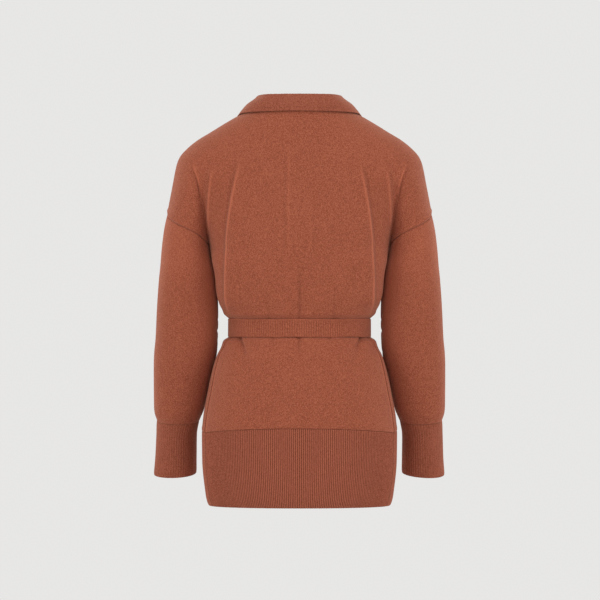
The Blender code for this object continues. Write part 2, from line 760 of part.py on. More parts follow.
def collar_section(turn):
    """Middle line of the collar's cloth at one place: up the stand, over the fold and down."""
    lift = 0.0009 + 0.0010 * ramp(turn, 0.5, 0.9)
    half = COLLAR_WALL / 2
    foot = neckline_point(turn)
    outward = np.array((foot[0], foot[1], 0.0))
    outward /= np.linalg.norm(outward)
    foot = foot - outward * half + (0, 0, lift)
    fold = np.array([smooth(COLLAR, "fold_" + k, turn) for k in "xyz"])
    out = np.array((fold[0], fold[1], 0.0))
    out /= np.linalg.norm(out)
    edge = collar_edge(turn)
    radius = 0.0028
    turn_up = fold - out * radius
    turn_down = fold + out * radius
    bulge = out * 0.0025
    return [
        foot,
        foot * 0.5 + turn_up * 0.5,
        turn_up - (0, 0, 0.002),
        fold + (0, 0, 0.0008),
        turn_down - (0, 0, 0.002),
        turn_down * 0.5 + edge * 0.5 + bulge,
        edge,
    ]


def make_collar(collection):
    """Folded collar, open at the front."""
    half = COLLAR_COLUMNS
    sections = []
    for n in range(half + 1):
        sections.append(np.array(collar_section(COLLAR_END * n / half)))
    rows = len(sections[0]) - 1

    def middle(column, row):
        point = sections[abs(column - half)][row].copy()
        point[0] *= 1 if column >= half else -1
        return point

    def normal(column, row):
        a = middle(min(column + 1, 2 * half), row) - middle(max(column - 1, 0), row)
        b = middle(column, min(row + 1, rows)) - middle(column, max(row - 1, 0))
        n = np.cross(a, b)
        return n / np.linalg.norm(n)

    def place_vertex(column, row):
        n = normal(column, row)
        return middle(column, row) - n * COLLAR_WALL / 2, n

    bm, directions = grid(2 * half, rows, place_vertex)
    thicken(bm, directions, COLLAR_WALL)
    return add_piece(bm, "collar", "rib", collection)


def slab(name, columns, rows, point, direction, wall, material_name, collection):
    bm, directions = grid(columns, rows, lambda c, r: (point(c, r), direction(c, r)))
    thicken(bm, directions, wall)
    return add_piece(bm, name, material_name, collection)


def placket_surface(x, z, depth):
    """Point depth outside the front panel near its centre line."""
    y = surface_y(abs(x), z, -1)
    slope = (surface_y(abs(x), z + 0.003, -1) - surface_y(abs(x), z - 0.003, -1)) / 0.006
    scale = math.sqrt(1 + slope * slope)
    return (x, y - depth / scale, z + depth * slope / scale)


def make_plackets(collection):
    """Band over the slit and band under it."""
    top = NECK_Z - FRONT_NECK_DROP - 0.006
    foot = SLIT_END_Z - 0.012
    for name, depth, level, width in (
        ("placket_over", 0.0006, top, PLACKET_WIDTH),
        ("placket_under", -(WALL + 0.0006 + WALL), top, PLACKET_WIDTH - 0.006),
    ):
        slab(
            name, 4, PLACKET_ROWS,
            lambda c, r, d=depth, w=width, t=level: placket_surface(
                (c / 4 - 0.5) * w, t + (foot - t) * r / PLACKET_ROWS, d + WALL
            ),
            lambda c, r: (0.0, 1.0, 0.0),
            WALL, "rib", collection,
        )


def make_buttons(collection):
    for n, z in enumerate(BUTTON_LEVELS):
        bm = bmesh.new()
        bmesh.ops.create_cone(
            bm, cap_ends=True, segments=20,
            radius1=BUTTON_RADIUS, radius2=BUTTON_RADIUS, depth=BUTTON_DEPTH,
        )
        slope = (surface_y(0, z + 0.003, -1) - surface_y(0, z - 0.003, -1)) / 0.006
        tilt = math.atan(slope)
        x, y, zz = placket_surface(0.0, z, WALL + 0.0006 + 0.0005 + BUTTON_DEPTH / 2)
        piece = add_piece(bm, f"button_{n + 1}", "button", collection)
        piece.location = (x, y, zz)
        piece.rotation_euler = (math.pi / 2 - tilt, 0.0, 0.0)


def belt_outline(z, share, side, depth):
    """Point of the belt's track, depth outside the waist."""
    line, _ = outline(z, side)
    x, y = along(line, share)
    ahead = along(line, min(share + 0.004, 1.0)) - along(line, max(share - 0.004, 0.0))
    normal = np.array((-ahead[1], ahead[0])) * (1 if side > 0 else -1)
    normal /= np.linalg.norm(normal)
    return np.array((x, y)) + normal * depth


def make_belt(collection):
    """Belt round the waist, its knot in front and the knot's two tails."""
    quarter_count = 2 * SIDE_COLUMNS
    columns = 4 * quarter_count
    levels = (BELT_TOP_Z, -0.3665, -0.3815, BELT_FOOT_Z)

    def track(column, row, depth):
        part, step = divmod(column % columns, quarter_count)
        side = 1 if part in (0, 3) else -1
        share = step / quarter_count if part in (0, 2) else 1 - step / quarter_count
        x, y = belt_outline(levels[row], share, side, depth)
        return np.array((x if part < 2 else -x, y, levels[row]))

    make_tube(
        "belt_loop", columns, len(levels) - 1,
        lambda c, r: track(c, r, BELT_GAP + BELT_WALL),
        lambda c, r: track(c, r, BELT_GAP) - track(c, r, BELT_GAP + BELT_WALL),
        1.0, "jersey", collection, False,
    )
    front = belt_outline(BELT_TOP_Z, 0.0, -1, 0.0)[1] - BELT_GAP - BELT_WALL
    middle_z = (BELT_TOP_Z + BELT_FOOT_Z) / 2
    bm = bmesh.new()
    bmesh.ops.create_cube(bm, size=1.0)
    bmesh.ops.scale(bm, vec=KNOT_SIZE, verts=bm.verts)
    bmesh.ops.bevel(
        bm, geom=bm.edges[:], offset=0.0065, offset_type="OFFSET", affect="EDGES",
        segments=3, profile=0.5, material=-1,
    )
    knot = add_piece(bm, "belt_knot", "jersey", collection)
    knot_y = front - 0.0006 - KNOT_SIZE[1] / 2
    knot.location = (0.0, knot_y, middle_z)
    rows = 14
    for n, name in enumerate(("belt_tail_left", "belt_tail_right")):
        top_z = middle_z - KNOT_SIZE[2] / 2 - SEAM - 0.0002
        foot_z = TAIL_FOOT_Z[n]
        lift = 0.0012 + n * 0.0042

        def tail_point(column, row, n=n, lift=lift, foot_z=foot_z, top_z=top_z):
            t = row / rows
            z = top_z + (foot_z - top_z) * t
            middle = TAIL_SPREAD[n] * t**0.8 + (0.004 if n == 0 else -0.004)
            x = middle + (column / 4 - 0.5) * TAIL_WIDTH * (0.72 + 0.28 * min(1.0, 5 * t))
            y = surface_y(abs(x), z, -1) - lift - TAIL_WALL
            start = knot_y - (0.0010 if n == 0 else 0.0055)
            stay = 1 - ramp(t, 0.0, 0.28)
            return np.array((x, min(y, start * stay + y * (1 - stay)), z))

        slab(
            name, 4, rows, tail_point, lambda c, r: (0.0, 1.0, 0.0), TAIL_WALL, "jersey", collection
        )


def main():
    for old in list(bpy.data.objects):
        bpy.data.objects.remove(old, do_unlink=True)
    collection = bpy.data.collections.new("knit_polo_shirt")
    bpy.context.scene.collection.children.link(collection)
    make_panel("back_panel", 1, collection)
    make_panel("front_panel", -1, collection)
    for name, flip in (("left", False), ("right", True)):
        make_sleeve("sleeve_" + name, flip, collection)
        make_cuff("cuff_" + name, flip, collection)
    make_hem("hem_rib_back", 1, collection)
    make_hem("hem_rib_front", -1, collection)
    make_collar(collection)
    make_plackets(collection)
    make_buttons(collection)
    make_belt(collection)


main()
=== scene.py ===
"""Looks of a long-sleeved knit polo shirt, filled out and hollow, with its own tied belt.

Metres, +Z up. The back faces +Y and the left sleeve lies at +X. The knit's main
sections come from the same tables as the solids; creases, seams, ribs and stitches
are added here.
"""

import json
import math

import bmesh
import bpy
import numpy as np
from mathutils import Matrix, Vector

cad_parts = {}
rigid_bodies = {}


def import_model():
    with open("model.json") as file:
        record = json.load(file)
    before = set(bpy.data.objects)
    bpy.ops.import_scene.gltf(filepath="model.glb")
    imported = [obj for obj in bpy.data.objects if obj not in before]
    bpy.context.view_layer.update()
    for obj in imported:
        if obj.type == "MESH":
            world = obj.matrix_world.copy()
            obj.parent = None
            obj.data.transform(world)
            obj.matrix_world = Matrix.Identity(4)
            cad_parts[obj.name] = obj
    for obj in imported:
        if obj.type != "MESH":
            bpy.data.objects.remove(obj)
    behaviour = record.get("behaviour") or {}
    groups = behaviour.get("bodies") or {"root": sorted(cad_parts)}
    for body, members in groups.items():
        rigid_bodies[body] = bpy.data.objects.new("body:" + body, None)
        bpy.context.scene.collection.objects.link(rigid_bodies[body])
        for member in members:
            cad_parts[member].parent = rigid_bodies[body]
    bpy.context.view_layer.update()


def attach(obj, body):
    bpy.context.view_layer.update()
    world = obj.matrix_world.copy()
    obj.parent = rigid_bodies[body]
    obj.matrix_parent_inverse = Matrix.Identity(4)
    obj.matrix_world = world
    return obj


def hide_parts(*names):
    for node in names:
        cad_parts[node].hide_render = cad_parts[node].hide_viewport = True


for leftover in list(bpy.data.objects):
    bpy.data.objects.remove(leftover, do_unlink=True)
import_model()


def tabled(names, *rows):
    """Columns of a table by their names, from its rows."""
    return dict(zip(names.split(), zip(*rows)))


# ---------------------------------------------------------------- sizes

# Cloth of the solids
WALL = 0.0018
SEAM = 0.0003
RIB_WALL = 0.0026

# Levels
NECK_Z = 0.012
FRONT_NECK_DROP = 0.067
NECK_HALF = 0.083
UNDERARM_Z = -0.238
SHOULDER_END_Z = -0.1715
HEM_SEAM_Z = -0.547
HEM_SEAM_DROP = 0.0095
SLIT_HALF = 0.0012
SLIT_END_Z = -0.195

# How fast the armhole seam climbs from the underarm
SEAM_RISE = 0.57

# Levels of the body's rows; the one numbered UNDERARM_ROW meets the underarm
UNDERARM_ROW = 11
ROW_LEVELS = (
    0.012, -0.004, -0.022, -0.042, -0.064, -0.0875, -0.112, -0.138, -0.164,
    -0.190, -0.214, -0.238, -0.262, -0.290, -0.316, -0.336, -0.349, -0.3565,
    -0.3915, -0.399, -0.420, -0.452, -0.488, -0.520, -0.551,
)

# Depth of the body from the side plane, and how square its sections are
DEPTHS = tabled(
    "z back front square",
    (0.04, 0.055, 0.055, 2),
    (0.012, 0.062, 0.06, 2),
    (-0.02, 0.071, 0.067, 2.1),
    (-0.055, 0.081, 0.079, 2.2),
    (-0.0875, 0.09, 0.092, 2.3),
    (-0.124, 0.098, 0.107, 2.4),
    (-0.16, 0.104, 0.118, 2.5),
    (-0.2, 0.108, 0.122, 2.5),
    (-0.238, 0.109, 0.12, 2.5),
    (-0.29, 0.108, 0.115, 2.4),
    (-0.33, 0.105, 0.109, 2.3),
    (-0.349, 0.1, 0.103, 2.3),
    (-0.3565, 0.091, 0.094, 2.2),
    (-0.3915, 0.091, 0.094, 2.2),
    (-0.399, 0.099, 0.1, 2.2),
    (-0.42, 0.108, 0.105, 2.3),
    (-0.452, 0.115, 0.109, 2.3),
    (-0.488, 0.12, 0.111, 2.3),
    (-0.53, 0.123, 0.112, 2.3),
    (-0.56, 0.124, 0.113, 2.3),
    (-0.63, 0.122, 0.112, 2.3),
    (-0.672, 0.118, 0.109, 2.3),
    (-0.686, 0.113, 0.105, 2.3),
)

# Outer line of shoulder and upper arm
SHOULDER = tabled(
    "z x",
    (0.03, 0.06),
    (0.012, 0.083),
    (0, 0.1),
    (-0.007, 0.113),
    (-0.0175, 0.131),
    (-0.033, 0.156),
    (-0.047, 0.179),
    (-0.061, 0.196),
    (-0.075, 0.2085),
    (-0.0875, 0.214),
    (-0.124, 0.2215),
    (-0.173, 0.231),
    (-0.205, 0.2375),
    (-0.238, 0.2415),
)

# Crease between body and arm, from the shoulder blade to the underarm
CREASE = tabled(
    "z x depth softness",
    (0.03, 0.055, 0.056, 0.008),
    (0.012, 0.0726, 0.056, 0.008),
    (-0.02, 0.118, 0.056, 0.008),
    (-0.047, 0.157, 0.056, 0.008),
    (-0.0875, 0.1864, 0.056, 0.008),
    (-0.124, 0.1752, 0.056, 0.008),
    (-0.173, 0.1645, 0.047, 0.005),
    (-0.205, 0.161, 0.035, 0.003),
    (-0.222, 0.1585, 0.023, 0.002),
    (-0.238, 0.1555, 0, 0.0006),
)

# Body below the underarm: half width, where it is widest, and the side seam
SIDES = tabled(
    "z width widest_y seam_y",
    (-0.238, 0.1555, -0.005, -0.005),
    (-0.25, 0.1565, 0.01, -0.003),
    (-0.266, 0.152, 0.025, 0),
    (-0.29, 0.147, 0.025, 0.006),
    (-0.327, 0.1425, 0.018, 0.014),
    (-0.341, 0.1354, 0.012, 0.018),
    (-0.35, 0.1305, 0.006, 0.022),
    (-0.3565, 0.1213, 0, 0.026),
    (-0.3915, 0.1213, 0, 0.03),
    (-0.397, 0.132, 0, 0.032),
    (-0.411, 0.139, 0, 0.034),
    (-0.422, 0.145, 0, 0.036),
    (-0.453, 0.154, 0, 0.04),
    (-0.488, 0.161, 0, 0.042),
    (-0.53, 0.1685, 0, 0.042),
    (-0.56, 0.1708, 0, 0.042),
    (-0.605, 0.1703, 0, 0.042),
    (-0.663, 0.1646, 0, 0.042),
    (-0.677, 0.162, 0, 0.042),
    (-0.686, 0.158, 0, 0.042),
)

# Arm sections; each level is tilted by lean, so that the cuff is cut square to the arm
ARM = tabled(
    "z inner centre outer centre_y half_depth lean",
    (-0.0875, 0.1864, 0.164, 0.214, -0.001, 0.062, 0),
    (-0.124, 0.1752, 0.1715, 0.2215, -0.002, 0.064, 0),
    (-0.173, 0.1645, 0.182, 0.231, -0.004, 0.062, 0),
    (-0.205, 0.161, 0.1895, 0.2375, -0.005, 0.06, 0),
    (-0.238, 0.1555, 0.1985, 0.2415, -0.005, 0.059, 0),
    (-0.266, 0.1485, 0.196, 0.2438, -0.006, 0.057, 0),
    (-0.29, 0.1446, 0.1955, 0.2463, -0.008, 0.055, 0),
    (-0.341, 0.1426, 0.19645, 0.25, -0.013, 0.052, 0.04),
    (-0.394, 0.1437, 0.198, 0.2527, -0.02, 0.051, 0.1),
    (-0.4158, 0.1451, 0.1995, 0.2545, -0.023, 0.0505, 0.13),
    (-0.4428, 0.151, 0.203, 0.2561, -0.028, 0.0492, 0.16),
    (-0.474, 0.1584, 0.2065, 0.2563, -0.034, 0.0465, 0.19),
    (-0.509, 0.1663, 0.21045, 0.2562, -0.041, 0.0438, 0.21),
    (-0.524, 0.1705, 0.21225, 0.2556, -0.0445, 0.0415, 0.22),
    (-0.536, 0.1764, 0.213, 0.251, -0.0475, 0.037, 0.22),
)
ARM_SQUARE = 2.2
CUFF_TOP_Z = -0.536

CUFF = tabled(
    "z centre half_width centre_y half_depth",
    (-0.536, 0.213, 0.0364, -0.0475, 0.0362),
    (-0.56, 0.2165, 0.0359, -0.053, 0.0352),
    (-0.6, 0.2177, 0.0366, -0.0625, 0.0352),
    (-0.631, 0.219, 0.038, -0.07, 0.0362),
)
CUFF_RIBS = 52
CUFF_EDGE_Z = (-0.5363, -0.631)
CUFF_LEAN = 0.22

HEM_RIBS = 117
HEM_FOOT_Z = -0.685

# Largest folds: a line from high to low, its half width and how far it stands out
FOLDS = tabled(
    "side x_high z_high x_low z_low half_width rise",
    (1, 0.101, -0.1, 0.127, -0.345, 0.03, 0.0045),
    (1, 0.125, -0.13, 0.138, -0.345, 0.02, -0.003),
    (1, 0, -0.252, 0, -0.355, 0.02, -0.003),
    (1, 0.1033, -0.392, 0.094, -0.46, 0.016, -0.0035),
    (1, 0, -0.392, 0, -0.48, 0.024, -0.003),
    (-1, 0.085, -0.22, 0.075, -0.35, 0.026, 0.004),
    (-1, 0.06, -0.392, 0.07, -0.48, 0.024, -0.003),
    (-1, 0.06, -0.24, 0.03, -0.35, 0.022, -0.0025),
)

# Collar: share of the way round from centre back to centre front
COLLAR_END = 0.955
COLLAR_WALL = 0.0020
COLLAR_CLEAR = 0.0034
COLLAR_SHOULDER_CLEAR = 0.0016
COLLAR = tabled(
    "turn fold_x fold_y fold_z edge_angle edge_z",
    (0, 0, 0.056, 0.0315, 0, 0.003),
    (0.25, 0.052, 0.043, 0.0315, 54, 0.002),
    (0.5, 0.073, 0, 0.03, 90, 0),
    (0.62, 0.074, -0.026, 0.025, 108, -0.012),
    (0.75, 0.066, -0.052, 0.011, 120, -0.036),
    (0.88, 0.045, -0.078, -0.012, 132.6, -0.074),
    (0.955, 0.03, -0.091, -0.028, 143, -0.104),
)

PLACKET_WIDTH = 0.028
PLACKET_DROP = 0.006
PLACKET_PAST_SLIT = 0.012
BUTTON_RADIUS = 0.0058
BUTTON_DEPTH = 0.0022
BUTTON_LEVELS = (-0.080, -0.122, -0.164)
BUTTON_HOLE = 0.30
BUTTON_FACE = 0.14
# Turned outline of a button, as shares of its radius and depth
BUTTON_PROFILE = (
    (0, -0.5), (0.80, -0.5), (0.97, -0.25), (1, 0.05), (0.95, 0.42),
    (0.86, 0.5), (0.74, 0.46), (0.66, 0.22), (0.50, BUTTON_FACE), (0, BUTTON_FACE),
)

BELT_TOP_Z = -0.3578
BELT_FOOT_Z = -0.3902
BELT_WALL = 0.0030
BELT_GAP = 0.0004
BELT_SWELL = (0.0036, 0.0030)
KNOT_SIZE = (0.040, 0.017, 0.038)
TAIL_WIDTH = 0.032
TAIL_WALL = 0.0028
TAIL_GATHER = 0.72
# Each tail: level of its foot, how far it spreads, where it starts, and its lift off the front
TAILS = {
    "belt_tail_left": (-0.640, 0.030, 0.004, -0.0010, 0.0012),
    "belt_tail_right": (-0.612, -0.034, -0.004, -0.0055, 0.0054),
}

# Finer divisions of the visible knit
ROW_STEPS = 6
BODY_COLUMNS = 96
CAP_COLUMNS = 34
SLEEVE_ROWS = 118
SLEEVE_COLUMNS = 104
RIB_STEPS = 6
COLLAR_RIBS = 92
COLLAR_ROWS = 40
BELT_COLUMNS = 720

BELT_RIB = 0.0042
# Painted stripes of light and shade for the belt's ribs, which have no relief
BELT_RIB_PAINTED_LIGHT = 0.45
HEM_RIB_HEIGHT = 0.0011
# Painted shade in the hem's rib valleys and painted highlight on its ribs
HEM_RIB_PAINTED_LIGHT = 2.1
HEM_VALLEY = 0.5
CUFF_RIB_HEIGHT = 0.0005
CUFF_EASE = 0.0006
CUFF_WAVE = 0.0009
CUFF_JOIN = 0.024
CUFF_TILT = 0.05
COLLAR_RIB_HEIGHT = 0.00022
COLLAR_FOLD_HALF = 0.0028
COLLAR_LIFT = (0.0009, 0.0010)
PLACKET_RIB = 0.0028
PLACKET_RIB_HEIGHT = 0.00016
PLACKET_LIFT = 0.0006
SLIT_DEPTH = 0.0006
SLIT_TONE_HALF = 0.0007
BUTTONHOLE_HALF = 0.0085
THREAD_RADIUS = 0.00042
THREAD_KNOT_RADIUS = 0.00072
KNOT_SQUARE = 0.62
# Painted shade in the knot's grooves
KNOT_GROOVE_PAINTED_SHADE = 350

# Relief across a seam or an edge: height of each hump, how far off it lies, and its half width
RELIEF = {
    "linked seam": ((-0.0014, 0, 0.0018), (0.0005, 0.0042, 0.0024)),
    "cap beside seam": ((0.0007, 0.004, 0.004),),
    "panel foot": ((-0.0006, 0, 0.0014), (0.0005, 0.0055, 0.005)),
    "body beside arm": ((0.0024, 0.014, 0.022),),
    "crest": ((0.0007, 0, 0.0022),),
    "body's side of arm crease": ((0.0026, 0, 0.008),),
    "arm's side of arm crease": ((-0.0014, 0, 0.003),),
    "armhole": ((-0.0016, 0, 0.0022), (-0.0004, 0, 0.012)),
    "sleeve foot": ((-0.0006, 0.01, 0.01),),
    "hem side": ((-0.0012, 0, 0.0018),),
    "hem top": ((-0.0004, 0, 0.0016),),
    "hem foot": ((-0.0009, 0, 0.0016),),
    "collar welt": ((-0.0003, 0.0065, 0.0009),),
    "placket side": ((-0.0006, 0, 0.001), (-0.00035, 0.0032, 0.0007)),
    "placket end": ((-0.0005, 0, 0.001),),
    "belt edge": ((-0.0008, 0, 0.0014), (0.0005, 0.0018, 0.0012)),
    "tail edge": ((-0.0007, 0, 0.0013), (0.0004, 0.0018, 0.0012)),
}

# Tone in the same way: above 0 it darkens a seam or stitched line, or is painted shade in a crease,
# on a flank or beside the belt; below 0 it is a painted highlight on a crest, lip, ridge or belt edge
TONE = {
    "side seam": ((1, 0, 0.0016),),
    # painted shade in the arm crease, and a painted highlight on the body's lip beside it
    "arm crease": ((0.9, 0.0006, 0.0015), (-0.6, -0.0036, 0.0022)),
    "armhole": ((0.7, 0, 0.0013),),
    "panel foot": ((0.3, 0, 0.001),),
    # painted shade along the skirt's side edge, and a painted highlight on the ridge beside it
    "skirt side": ((0.9, 0.0006, 0.0022),),
    "skirt side ridge": ((-0.6, 0.0056, 0.0024),),
    # painted highlight on the body beside the arm
    "body beside arm": ((-0.35, 0.014, 0.008),),
    # painted shade under the belt and just above it
    "under belt": ((0.75, -0.0006, 0.003),),
    "over belt": ((0.35, 0.0006, 0.002),),
    # painted highlight on a crest with painted shade on its far flank; painted shade in a trough
    "crest": ((0.5, 0.006, 0.0042), (-1.15, 0, 0.0022)),
    "trough": ((0.9, 0, 0.0034),),
    "sleeve seam": ((1, 0, 0.0014),),
    "sleeve foot": ((0.25, 0, 0.0012),),
    "cuff top": ((0.3, 0, 0.0014),),
    "collar foot": ((1, 0, 0.0014),),
    "collar welt": ((0.6, 0.0065, 0.0008),),
    "placket stitches": ((0.7, 0.0032, 0.0006),),
    # painted highlights along the belt's top and bottom edges
    "belt top": ((-0.8, 0.0012, 0.0013),),
    "belt foot": ((-0.3, 0.0012, 0.001),),
    "tail hem": ((0.7, 0.009, 0.0008),),
}

# Lengths of the folds, as shares; and depths below the origin that lie beside the arm
WAIST_Z = -0.37
FOLD_ABOVE_BELT = (0.0, 0.5, 0.9, 1.0)
FOLD_BELOW_BELT = (0.0, 0.08, 0.3, 1.0)
SEAM_BY_ARM = (0.200, 0.225, 0.310, 0.335)
BODY_BY_ARM = (0.226, 0.240, 0.300, 0.335)

# Close steps beside an edge, in rows or in shares of the way across
UNDERARM_STEPS = (0.03, 0.06, 0.10, 0.15, 0.22, 0.32)
FOOT_STEPS = (0.02, 0.045, 0.07, 0.10, 0.14, 0.19, 0.26)
PLACE_STEPS = (0.0025, 0.005, 0.0075, 0.0105, 0.014, 0.019, 0.026, 0.034)
SLEEVE_STEPS = (0.0035, 0.007, 0.011, 0.016, 0.024, 0.034)

# Creases: from high to low, steep on one flank; they differ from side to side
CREASES = tabled(
    "side x_high z_high x_low z_low bow inner_width outer_width rise crisp fade_in fade_out",
    (1, 0.101, -0.08, 0.1222, -0.35, 0.0115, 0.022, 0.005, 0.004, 1, 0.14, 0.06),
    (1, -0.103, -0.085, -0.1225, -0.35, -0.01, 0.02, 0.0055, 0.0036, 0.9, 0.12, 0.06),
    (1, 0.1496, -0.0945, 0.156, -0.215, 0.004, 0.011, 0.008, 0.0018, 0.75, 0.15, 0.3),
    (1, -0.15, -0.096, -0.157, -0.208, -0.003, 0.01, 0.008, 0.0016, 0.65, 0.15, 0.3),
    (1, 0.166, -0.078, 0.163, -0.12, 0, 0.01, 0.01, -0.0016, 0, 0.4, 0.4),
    (1, -0.165, -0.08, -0.162, -0.116, 0, 0.009, 0.009, -0.0014, 0, 0.4, 0.4),
    (1, 0.0184, -0.05, 0.019, -0.262, 0, 0.012, 0.005, 0.0006, 0.3, 0.2, 0.2),
    (1, -0.018, -0.16, -0.02, -0.252, 0, 0.01, 0.005, 0.0005, 0.2, 0.3, 0.3),
    (1, 0, -0.262, 0, -0.358, 0, 0.009, 0.009, -0.0014, 0.75, 0.6, 0.02),
    (1, 0.056, -0.305, 0.053, -0.358, 0, 0.01, 0.009, -0.001, 0.35, 0.6, 0.02),
    (1, -0.062, -0.296, -0.06, -0.358, 0, 0.009, 0.01, -0.0012, 0.35, 0.6, 0.02),
    (1, 0.1033, -0.386, 0.093, -0.428, 0, 0.0035, 0.008, -0.0042, 1.15, 0.02, 0.9),
    (1, -0.1059, -0.386, -0.0975, -0.42, 0, 0.0035, 0.008, -0.0036, 1.05, 0.02, 0.9),
    (1, 0.001, -0.386, 0, -0.43, 0, 0.007, 0.007, -0.002, 0.65, 0.02, 0.9),
    (1, 0.047, -0.386, 0.044, -0.418, 0, 0.006, 0.007, -0.0009, 0.25, 0.02, 0.8),
    (1, -0.052, -0.386, -0.05, -0.412, 0, 0.006, 0.006, -0.0011, 0.25, 0.02, 0.8),
    (1, -0.128, -0.386, -0.131, -0.43, 0, 0.006, 0.006, -0.001, 0.25, 0.02, 0.8),
    (-1, 0.088, -0.1, 0.112, -0.35, 0.009, 0.022, 0.008, 0.0028, 0.8, 0.4, 0.06),
    (-1, -0.094, -0.11, -0.116, -0.35, -0.006, 0.02, 0.0075, 0.0024, 0.75, 0.4, 0.06),
    (-1, 0.148, -0.1, 0.158, -0.22, 0.003, 0.011, 0.008, 0.0014, 0.55, 0.3, 0.3),
    (-1, -0.15, -0.102, -0.157, -0.214, -0.003, 0.01, 0.008, 0.0014, 0.55, 0.3, 0.3),
    (-1, 0.163, -0.085, 0.158, -0.13, 0, 0.01, 0.01, -0.0014, 0, 0.4, 0.4),
    (-1, -0.164, -0.083, -0.16, -0.126, 0, 0.009, 0.009, -0.0016, 0, 0.4, 0.4),
    (-1, 0.036, -0.285, 0.022, -0.358, 0.002, 0.008, 0.006, -0.0022, 0.5, 0.7, 0.02),
    (-1, -0.03, -0.3, -0.018, -0.358, -0.002, 0.007, 0.006, -0.0018, 0.4, 0.7, 0.02),
    (-1, 0.066, -0.31, 0.058, -0.358, 0, 0.009, 0.008, -0.0014, 0.3, 0.7, 0.02),
    (-1, -0.071, -0.296, -0.06, -0.358, 0, 0.008, 0.009, -0.0017, 0.4, 0.7, 0.02),
    (-1, 0.033, -0.386, 0.047, -0.47, 0.004, 0.006, 0.009, -0.0026, 0.5, 0.02, 0.85),
    (-1, -0.027, -0.386, -0.04, -0.445, -0.003, 0.006, 0.008, -0.0022, 0.45, 0.02, 0.85),
    (-1, 0.064, -0.386, 0.072, -0.43, 0, 0.006, 0.006, -0.0012, 0.25, 0.02, 0.85),
    (-1, -0.06, -0.386, -0.071, -0.44, 0, 0.005, 0.006, -0.0015, 0.3, 0.02, 0.85),
    (-1, 0.1, -0.386, 0.096, -0.45, 0, 0.004, 0.008, -0.0026, 0.6, 0.02, 0.85),
    (-1, -0.103, -0.386, -0.1, -0.425, 0, 0.004, 0.008, -0.002, 0.5, 0.02, 0.85),
)

# Sleeve creases; hand 0 is both arms
SLEEVE_CREASES = tabled(
    "turn v slope turn_width v_width rise hand",
    (1.8, 0.4, 0.1, 0.3, 0.016, -0.0022, 0),
    (1.86, 0.49, -0.04, 0.34, 0.014, -0.0026, 0),
    (1.74, 0.57, -0.12, 0.28, 0.018, -0.002, 1),
    (0.5, 0.9, 0.03, 0.22, 0.012, -0.0009, 0),
    (0.3, 0.96, 0, 0.035, 0.045, -0.001, 1),
    (0.72, 0.95, 0, 0.03, 0.04, -0.0008, 0),
    (1.05, 0.96, 0, 0.04, 0.05, -0.0009, -1),
    (1.36, 0.95, 0, 0.03, 0.04, -0.0011, 0),
    (1.66, 0.96, 0, 0.035, 0.045, -0.0008, 1),
    (0.55, 0.3, 0.2, 0.3, 0.08, 0.001, 0),
    (1.15, 0.7, 0.15, 0.3, 0.07, 0.0009, 0),
    (0.1, 0.62, 0.1, 0.25, 0.02, -0.0012, -1),
)

KNOT_FOLDS = tabled(
    "slope offset width depth",
    (0.32, 0.3, 0.12, 0.002),
    (-0.38, -0.34, 0.14, 0.0022),
    (0.1, 0.02, 0.1, 0.001),
)

# Yarn, studio and camera
JERSEY_DARK = (0.242, 0.056, 0.027)
JERSEY_LIGHT = (0.420, 0.120, 0.065)
RIB_DARK = (0.215, 0.052, 0.026)
RIB_LIGHT = (0.365, 0.106, 0.060)
# Darkening of seams, and painted shade, where a piece's tone is above 0
SEAM_SHADE = 0.42
# Mottling of the yarn: scale, detail and weight
YARN_TONES = ((720.0, 1.0, 3.565), (1700.0, 1.0, 1.86), (90.0, 1.0, 0.186), (9.0, 2.0, 0.31))
# Painted highlight on crests, lips, ridges and edges, where a piece's tone is below 0
CREST_PAINTED_HIGHLIGHT = 0.55
GAP_SHADE = 0.10
PIXEL = 0.00175
CAMERA_DISTANCE = 7.0
CAMERA_Z = (114 - 300) * PIXEL
BACKDROP = (0.80, 0.795, 0.785)
AMBIENT = 0.68
FLOOR_Z = -1.05
FLOOR_RADIUS = 2.2
SOFTBOX_TINT = (1.0, 0.985, 0.97)
LIGHT_AIM = (0.0, 0.0, -0.33)
SOFTBOXES = (
    ("left softbox", (3.1, 2.1, 0.4), (1.8, 2.4), 45.0),
    ("right softbox", (-3.1, 2.1, 0.4), (1.8, 2.4), 45.0),
    ("top softbox", (0.0, 1.6, 2.6), (2.4, 1.6), 16.0),
    ("far left fill", (2.2, -2.6, 0.6), (2.0, 2.0), 40.0),
    ("far right fill", (-2.2, -2.6, 0.6), (2.0, 2.0), 40.0),
)

TINY = 1e-9


def smooth(table, column, z):
    """Monotone cubic through a table's rows, so that nothing bulges between two of them."""
    key = "z" if "z" in table else "turn"
    order = np.argsort(table[key])
    h = np.array(table[key], float)[order]
    v = np.array(table[column], float)[order]
    step = np.diff(h)
    slope = np.diff(v) / step
    tangent = slope[np.minimum(np.arange(len(h)), len(slope) - 1)]
    same_way = slope[:-1] * slope[1:] > 0
    mean = np.where(same_way, 2 * slope[:-1] * slope[1:] / (slope[:-1] + slope[1:] + TINY), 0)
    tangent[1:-1] = np.where(same_way, mean, 0)
    z = np.clip(z, h[0], h[-1])
    i = np.clip(np.searchsorted(h, z) - 1, 0, len(h) - 2)
    return cubic((z - h[i]) / step[i], step[i], v[i], v[i + 1], tangent[i], tangent[i + 1])


def cubic(t, step, start, end, start_slope, end_slope):
    """Cubic from start to end over a step, with a given slope at each."""
    return (
        (2 * t**3 - 3 * t**2 + 1) * start
        + (t**3 - 2 * t**2 + t) * step * start_slope
        + (3 * t**2 - 2 * t**3) * end
        + (t**3 - t**2) * step * end_slope
    )


def ramp(value, start, end):
    t = np.clip((value - start) / (end - start), 0.0, 1.0)
    return t * t * (3 - 2 * t)


